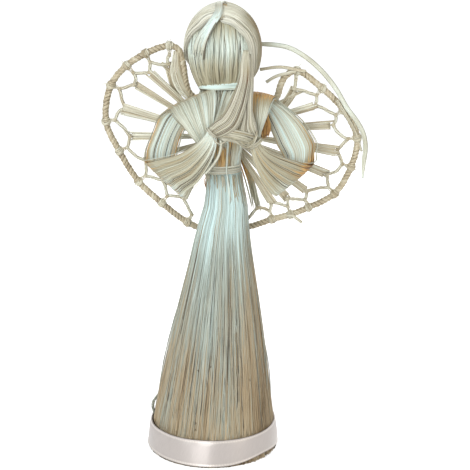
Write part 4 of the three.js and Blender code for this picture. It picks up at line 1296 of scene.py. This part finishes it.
def add_thread(strands, route, width, tone, plies=3, sway=0.12):
    """A free thread of a few fibres lying side by side along a route from the neck."""
    count = 40
    line = neck + evenly(spline(route, 12), count)
    for ply in range(plies):
        offset = np.stack([wander(count, sway, 3) for axis in range(3)], 1)
        strands.add(line + offset, TO_FRONT, width, tone + rng.normal(0, 0.08), 0.3)


def wrap(strands, centre, axis, across, half_width, half_depth, turns, tone):
    """Fibre wound tightly round a flat wrist."""
    pitch = 0.5
    count = int(20 * turns)
    axis, across = unit(np.array(axis, float)), np.array(across, float)
    across = unit(across - (across @ axis) * axis)
    out = np.cross(axis, across)
    angle = np.linspace(0, TURN * turns, count)
    ring = np.outer(half_width * np.cos(angle), across) + np.outer(half_depth * np.sin(angle), out)
    slide = np.linspace(-0.5, 0.5, count) * turns * pitch + wander(count, 0.15, turns)
    normals = unit(np.outer(np.cos(angle) / half_width, across) + np.outer(np.sin(angle) / half_depth, out))
    points = neck + centre + ring + np.outer(slide, axis)
    strands.add(points, normals, 0.5, tone + wander(count, 0.1, turns), 0.3, blunt=True)


def make_wrist_tie():
    """Fibre round each wrist, a web of fibre and a slack thread from one to the other."""
    strands = Fibres()
    wrap(strands, (-3.9, -18.5, -14.5), (0.68, -0.14, 0.72), (0.66, 0, -0.75), 2.5, 1.6, 2.4, 0.74)
    wrap(strands, (12.3, -18.2, -18.4), (-0.5, -0.19, 0.82), (-0.6, 0, -0.8), 2.9, 1.7, 3, 0.6)
    share = np.linspace(0, 1, 20)[:, None]
    for k in range(WRIST_WEB):
        lane = rng.uniform(0, 1)
        start = np.array([-2.6 + 2.4 * lane, -19.3, -12.8 - 4.4 * lane]) + rng.normal(0, 0.2, 3)
        end = np.array([12.4 - 2 * lane, -19.6, -15.4 - 4 * lane]) + rng.normal(0, 0.2, 3)
        middle = (start + end) / 2 + (0, -0.4, 1.5 - 0.9 * lane + rng.normal(0, 0.3))
        gap = k % WEB_GAP_EVERY == 0
        tone = GAP if gap else 0.6 + rng.normal(0, 0.1)
        width = 0.3 if gap else rng.uniform(0.25, 0.6)
        strands.add(neck + bezier(start, middle, end, share), TO_FRONT, width, tone)
    add_thread(strands, WRIST_THREAD, 0.4, 0.66)
    for offset in (0.7, 1.4):
        add_thread(strands, [(x, y + 0.3, z + offset) for x, y, z in WRIST_THREAD[4:]], 0.3, 0.56, plies=2)
    strands.build("wrist_tie_twine", hair_fibre, "abaca_honey", "wrist_tie")
    loose = Fibres()
    add_thread(loose, WRIST_STRAND, 1.0, 0.8, plies=2, sway=0.04)
    loose.build("left_wrist_strand", fibre, "abaca_pale")


# Wings

# Outlines as offsets from the waist, outward and up, as in the CAD model
LEFT_OUTLINE = {
    "foot": [(8.6, -26.2)],
    "knots": [
        (14.7, -23.7), (25.1, -15.4), (34.2, -6.4), (41.5, 6), (46.4, 18.2),
        (43.9, 32.6), (37.5, 40.2), (30, 44.9), (20.7, 47.9),
    ],
    "head": [(17.1, 46.2), (13.5, 30), (9.6, 26.6)],
}
RIGHT_OUTLINE = {
    "foot": [(11, -25.4)],
    "knots": [
        (19.8, -22.4), (27.3, -20.4), (34.6, -17.4), (44.9, -11.6), (51.2, -0.5),
        (53.3, 11.5), (47.5, 22.7), (39, 31.2), (28.9, 38.1),
    ],
    "head": [(24.6, 36.2), (22.4, 32), (21, 27.6), (16.6, 25.8)],
}
RIM_STRANDS = 3
RIM_LAY = 1.55
RIM_STEP = 0.22
LACE_WIDTH = 1.5
KNOT_RADIUS = 0.66
STRIP_LANES = 13
STRIP_ROOT_WIDTH = 0.9
# Where strips start beside the spine, and how far they lie off the wing's plane, the last one further
STRIP_START = 2.3
STRIP_LAYER = 0.45
CLIMB_LAYER = 1.35
PLANE_NORMAL = np.array([0, 1.0, 0])
# A bundle of flat fibres inside the top of the left rim: outward, height above the waist
LEFT_BUNDLE = [(18, 46), (18.2, 38.5), (16.3, 32), (12.9, 27)]
# Threads at the foot of the right wing, where fibres run down from the back
RIGHT_FOOT_CORNER = (13.8, 0, -17.6)
RIGHT_FOOT_END = (8.5, 0, -24.6)
RIGHT_FOOT_FIBRES = 16
# Wisps held by the right rim: outward, behind, height above the waist
RIGHT_WISPS = [
    [(14.4, -0.5, 38.8), (22.3, -1.2, 39.8), (28.6, -1.9, 38.9), (32.3, -1.6, 38.2)],
    [(16.9, -0.4, 33.7), (21, -1, 36.3), (25.6, -1.8, 37.6), (28.8, -1.9, 38.4)],
    [(25.8, -1.8, -20.2), (28, -1.9, -20.3), (30, -1.4, -21.8), (32, -0.8, -23.6)],
    [(44.6, -1.9, 27), (48.6, -1.7, 20.6), (52.4, -1.2, 14), (55, -0.4, 6)],
]


class Wing:
    """One wing's frame, rim line, knots and lace corners. Local x runs across, y back, z up the spine."""

    def __init__(self, name, side, outline):
        self.name, self.side = name, side
        joint = {j["child"]: j for j in frame["record"]["behaviour"]["joints"]}[name]
        self.pivot = np.array(joint["pos_m"]) / MM
        self.up = np.array(joint["axis"]) * np.sign(joint["axis"][2])
        self.across = np.array([1.0, 0, 0])
        self.back = np.cross(self.up, self.across)
        half_gap, per_span = 0.5, 30
        foot = [
            (0, ROOT_CENTRE - half_gap), (0, 0), (0, SPINE_BOTTOM + 8), (0, SPINE_BOTTOM + 2.6),
            (1.6, SPINE_BOTTOM - 0.6),
        ]
        head = [(2.6, SPINE_TOP), (0, SPINE_TOP - 3), (0, ROOT_CENTRE + half_gap)]
        drawn = outline["foot"] + outline["knots"] + outline["head"]
        outer = [(x - SPINE_SPREAD, z) for x, z in drawn]
        self.rim = spline([(side * x, 0, z) for x, z in foot + outer + head], per_span)
        self.slope = unit(np.gradient(self.rim, axis=0))
        first = len(foot) + len(outline["foot"])
        self.ties = [(first + i) * per_span for i in range(len(outline["knots"]))]
        root = np.array([0, 0, ROOT_CENTRE])
        self.inward = []
        for i in self.ties:
            towards = root - self.rim[i]
            self.inward.append(unit(towards - (towards @ self.slope[i]) * self.slope[i]))
        self.stems = [self.rim[i] + d * LACE_STEM for i, d in zip(self.ties, self.inward)]
        middles = [self.rim[i + per_span // 2] for i in self.ties[:-1]]
        self.corners = [p + unit(root - p) * LACE_INSET for p in middles]

    def turn(self, local):
        return local[..., :1] * self.across + local[..., 1:2] * self.back + local[..., 2:] * self.up

    def place(self, local):
        return self.pivot + self.turn(local)

    def outward(self, x, y, z):
        """A local point from its distance outward of the figure's middle."""
        return np.array([self.side * (x - SPINE_SPREAD), y, z])

    def add(self, strands, points, normals, width, tone, thickness, blunt=False):
        normals = self.turn(np.broadcast_to(normals, points.shape))
        strands.add(self.place(points), normals, width, tone, thickness, blunt)


def make_rim(wing):
    """The wire's wrapping: a few flat strands wound side by side like a rope."""
    line = evenly(wing.rim, int(travelled(wing.rim)[-1] / RIM_STEP))
    count = len(line)
    side = np.cross(unit(np.gradient(line, axis=0)), PLANE_NORMAL)
    row = np.arange(count)[:, None]
    turn = ring_turns(18)
    uneven = wander(count, 0.18, 9)[:, None]
    phase = row * RIM_STEP / RIM_LAY + uneven - RIM_STRANDS * turn[None] / TURN
    groove = np.sin(math.pi * np.mod(phase, 1)) ** 0.6
    strand = np.mod(np.floor(phase), RIM_STRANDS).astype(int)
    own = np.stack([0.05 * rng.normal() + wander(count, 0.08, 12) for k in range(RIM_STRANDS)], 1)
    swell = np.stack([wander(count, 0.08, 10) for k in range(RIM_STRANDS)], 1)
    radius = RIM_RADIUS - 0.18 + 0.32 * groove + swell[row, strand]
    spoke = np.cos(turn)[None, :, None] * PLANE_NORMAL + np.sin(turn)[None, :, None] * side[:, None]
    stretch_tone_and_shade = smooth(-0.06, 0.06, wander(count, 0.1, 14))[:, None]
    # Grooves between the wound strands are darker as painted shade, and deeper in some random stretches,
    # which are also a little darker in tone
    tone = 0.51 - 0.06 * stretch_tone_and_shade + own[row, strand] - (0.2 + 0.75 * stretch_tone_and_shade) * smooth(0.56, 0.12, groove)
    rings = wing.place(line[:, None] + radius[..., None] * spoke)
    skin(wing.name + "_rim_wrap", rings, tone, twine, "abaca_tan", wing.name + "_rim", body=wing.name)


def coil(strands, wing, centre, axis, radius, turns, pitch, width, tone, slant=0.0):
    """Thread wound round a spot of the wing's plane, for a knot."""
    count = int(18 * turns)
    angle = np.linspace(0, TURN * turns, count) + rng.uniform(0, 6)
    second = np.cross(axis, PLANE_NORMAL)
    out = np.cos(angle)[:, None] * PLANE_NORMAL + np.sin(angle)[:, None] * second
    slide = np.linspace(-0.5, 0.5, count) * turns * pitch + slant * np.cos(angle)
    uneven = (radius + wander(count, 0.06, turns))[:, None]
    tones = tone + rng.normal(0, 0.08) + wander(count, 0.06, 2)
    wing.add(strands, centre + out * uneven + slide[:, None] * axis, out, width, tones, 0.34, blunt=True)


def twist(strands, wing, start, end, width, tone, plies=3, bow=0.4):
    """A thread of the lace: a few flat fibres lightly twisted together, a little slack."""
    share = np.linspace(0, 1, 20)
    side = np.cross(unit(end - start), PLANE_NORMAL)
    sag = side * rng.normal(0, bow) + PLANE_NORMAL * rng.normal(0, 0.2)
    line = start + np.outer(share, end - start) + np.outer(np.sin(math.pi * share), sag)
    turns = np.linalg.norm(end - start) / 14
    begin = rng.uniform(0, 1)
    for ply in range(plies):
        angle = TURN * (turns * share + begin + ply / plies)
        level, rise = np.outer(np.cos(angle), side), np.outer(np.sin(angle), PLANE_NORMAL)
        points = line + level * 0.3 * width + rise * 0.16 * width
        normals = (level + rise) * [1, 2, 1]
        wing.add(strands, points, normals, 0.62 * width, tone + rng.normal(0, 0.08), 0.32, blunt=True)


def make_lace(wing):
    """Each knot on the rim with its stem, and threads from the stems to the corners of the strips."""
    strands = Fibres()
    for knot, inward, stem in zip(wing.ties, wing.inward, wing.stems):
        centre, slope = wing.rim[knot], wing.slope[knot]
        coil(strands, wing, centre, slope, RIM_RADIUS + 0.28, 3.5, 0.7, 0.8, 0.64)
        coil(strands, wing, centre, slope, RIM_RADIUS + 0.5, 2.2, 0.5, 0.7, 0.68, slant=0.7)
        for offset in (-0.55, 0.55):
            start = centre + inward * (RIM_RADIUS + 0.1) + slope * offset
            twist(strands, wing, start, stem + slope * 0.3 * offset, 0.8, 0.68, 2, 0.05)
        coil(strands, wing, stem, inward, 0.62, 2.5, 0.45, 0.55, 0.64)
    for corner, before, after in zip(wing.corners, wing.stems, wing.stems[1:]):
        for stem in (before, after):
            twist(strands, wing, stem, corner, LACE_WIDTH, 0.76)
        coil(strands, wing, corner, unit(after - before), KNOT_RADIUS, 3, 0.5, 0.6, 0.64)
    node = wing.name + "_lace"
    strands.build(node + "_threads", twine, "abaca_pale", node, body=wing.name)


def flat_row(strands, wing, line, widths, lanes, face, tone, spread=0.1):
    """Fibres side by side along a line, as one flat strip that faces the front or the back."""
    count = len(line)
    widths = np.broadcast_to(widths, count)
    across = np.cross(unit(np.gradient(line, axis=0)), PLANE_NORMAL)
    for lane in range(lanes):
        u = (lane + 0.5) / lanes - 0.5 + rng.normal(0, 0.03)
        arch = 0.3 * (1 - (2 * u) ** 2) + rng.uniform(-0.08, 0.12)
        points = line + across * (u * widths + wander(count, 0.07))[:, None] + PLANE_NORMAL * (face * arch)
        tones = tone + rng.normal(0, spread) + wander(count, 0.05)
        cut = slice(0, count - rng.integers(0, 2))
        each = 2.2 * widths[cut] / lanes
        wing.add(strands, points[cut], PLANE_NORMAL * face, each, tones[cut], 0.28, blunt=True)


def make_strips(wing):
    """Flat strips from the lace corners to the root, some with a thin companion."""
    last = len(wing.corners) - 1
    share = np.linspace(0, 1, 24)
    t = share[:, None]
    for i, corner in enumerate(wing.corners):
        strands = Fibres()
        climbs = i == last
        face = 1 if climbs or i % 2 else -1
        layer = CLIMB_LAYER if climbs else STRIP_LAYER * face
        height = ROOT_CENTRE + (i / last - 0.5) * (ROOT_HEIGHT - 2.6)
        start = np.array([wing.side * STRIP_START, layer, height])
        end = corner + unit(corner - start) * 0.6 + PLANE_NORMAL * layer
        bend = (start + end) / 2
        if climbs:
            bend = np.array([start[0] + CLIMB_REACH * (end[0] - start[0]), layer, start[2]])
        full = STRIP_WIDTH * rng.uniform(0.95, 1.2)
        widths = STRIP_ROOT_WIDTH + (full - STRIP_ROOT_WIDTH) * share**0.7
        tone = 0.66 + rng.normal(0, 0.05)
        flat_row(strands, wing, bezier(start, bend, end, t), widths, STRIP_LANES, face, tone, 0.13)
        if i % 3 == 1:
            on_thread = corner + 0.4 * (wing.stems[i] - corner) + PLANE_NORMAL * layer
            flat_row(strands, wing, start + t * (on_thread - start), STRIP_ROOT_WIDTH, 3, face, 0.72)
        node = f"{wing.name}_strip_{i + 1}"
        strands.build(node + "_fibres", twine, "abaca_tan", node, body=wing.name)


def make_root(wing):
    """The binding that gathers the strips on the spine."""
    strands = Fibres()
    turns = 9
    for lane in range(2):
        centre = np.array([0, 0, ROOT_CENTRE + 0.3 * lane])
        coil(strands, wing, centre, np.array([0, 0, 1.0]), 1.72, turns, ROOT_HEIGHT / turns, 0.9, 0.46)
    node = wing.name + "_root"
    strands.build(node + "_binding", twine, "abaca_honey", node, body=wing.name)


def make_wisps(wing):
    """Loose hairs at the knots of the rim, and the fibres that only one wing has."""
    strands = Fibres()
    share = np.linspace(0, 1, 8)[:, None]
    for knot, inward in zip(wing.ties, wing.inward):
        start = wing.rim[knot] - inward * RIM_RADIUS
        for k in range(2):
            away = unit(-inward + rng.normal(0, 0.8, 3) * [1, 0.4, 1])
            points = start + away * rng.uniform(1, 3) * share + rng.normal(0, 0.6, 3) * share**2
            wing.add(strands, points, -PLANE_NORMAL, 0.2, 0.7, 0.14)
    if wing.side < 0:
        bundle = spline([wing.outward(x, -0.9, z) for x, z in LEFT_BUNDLE], 8)
        swell = 2.2 + 2.4 * np.sin(np.linspace(0, math.pi, len(bundle))) ** 1.5
        flat_row(strands, wing, bundle, swell, 22, -1, 0.66, 0.2)
    else:
        for route in RIGHT_WISPS:
            line = spline([wing.outward(*spot) for spot in route], 10)
            flat_row(strands, wing, line, 0.8, 2, -1, 0.74)
        corner = wing.outward(*RIGHT_FOOT_CORNER)
        twist(strands, wing, corner, wing.outward(*RIGHT_FOOT_END), LACE_WIDTH, 0.66)
        twist(strands, wing, corner, wing.stems[0], LACE_WIDTH, 0.68)
        coil(strands, wing, corner, np.array([1.0, 0, 0]), KNOT_RADIUS, 3, 0.5, 0.6, 0.62)
        make_foot_fibres(wing, corner)
    strands.build(wing.name + "_wisps", twine, "abaca_pale", body=wing.name)


def make_foot_fibres(wing, corner):
    """Fibres that run from the root down to the foot of the right wing, dark honey at the top, which partly
    paints the shade at the wing's root.
    """
    strands = Fibres()
    t = np.linspace(0, 1, 14)[:, None]
    for k in range(RIGHT_FOOT_FIBRES):
        start = np.array([wing.side * rng.uniform(1.2, 3.4), rng.uniform(0.2, 1), ROOT_CENTRE - 4.6])
        end = corner + rng.normal(0, 1, 3) * [1, 0.3, 1] + PLANE_NORMAL * 0.8
        middle = (start + end) / 2 + np.array([wing.side * rng.uniform(0.5, 4.5), 0.4, 0])
        tone = 0.2 + 0.42 * smooth(0.3, 0.75, t[:, 0]) + rng.normal(0, 0.07)
        wing.add(strands, bezier(start, middle, end, t), -PLANE_NORMAL, 0.6, tone, 0.3)
    strands.build(wing.name + "_foot_fibres", fibre, "abaca_honey", body=wing.name)


def make_wing(name, side, outline):
    wing = Wing(name, side, outline)
    make_rim(wing)
    make_lace(wing)
    make_strips(wing)
    make_root(wing)
    make_wisps(wing)


# Loose strand and wires

# Route of the strand from the waist
STRAND_ROUTE = [
    (9.5, 14.5, 48), (15.4, 14.4, 47.9), (20, 13.6, 47.7), (26, 12.4, 46.6), (32.6, 11.2, 43),
    (38.8, 9.8, 37.7), (44, 7.6, 31.4), (48.5, 5.2, 23.9), (53, 6.4, 17.9), (55.6, 7.6, 13),
    (56.6, 8.4, 7.6), (56.2, 9, 2), (56, 9.6, -5),
]
STRAND_WIDTH = 1.8
STRAND_THICKNESS = 0.5
STRAND_GROOVES = 9


def make_loose_strand():
    """The long flat strand caught by the right rim: a free cord, bare at its end."""
    count = 90
    line = evenly(waist + spline(STRAND_ROUTE, 16), count)
    along = unit(np.gradient(line, axis=0))
    side = unit(np.cross(along, TO_FRONT))
    out = np.cross(side, along)
    share = np.linspace(0, 1, count)
    taper = np.minimum(1, 0.4 + 6 * share) * np.minimum(1, 0.35 + 7 * (1 - share)) / 2
    turn = ring_turns(2 * STRAND_GROOVES)
    groove = 1 - 0.1 * np.cos(STRAND_GROOVES * turn)
    rings = [
        line[i]
        + np.outer(np.cos(turn) * groove * taper[i] * STRAND_WIDTH, side[i])
        + np.outer(np.sin(turn) * groove * taper[i] * STRAND_THICKNESS, out[i])
        for i in range(count)
    ]
    tone = (0.72 + wander(count, 0.08, 3))[:, None]
    piece = skin("loose_strand_fibre", rings, tone, fibre, "abaca_pale", "loose_strand", body="right_wing")


def make_wires():
    """The wires inside the wrapping keep their CAD shape."""
    for node in ("left_wing_wire", "right_wing_wire"):
        shape = frame["nodes"][node].data
        shape.materials.clear()
        shape.materials.append(wire)


make_camera()
make_floor()
make_light()
make_loose_strand()
make_skirt_shell()
make_skirt_fibres()
make_hem_ends()
make_lining()
make_ribbon()
make_bodice()
make_waist_strand()
make_ties()
make_head()
make_hair("hair_left", -1)
make_hair("hair_right", 1)
make_crown_tie()
make_arms()
make_wrist_tie()
make_wing("left_wing", -1, LEFT_OUTLINE)
make_wing("right_wing", 1, RIGHT_OUTLINE)
make_waist_fringe()
make_wires()
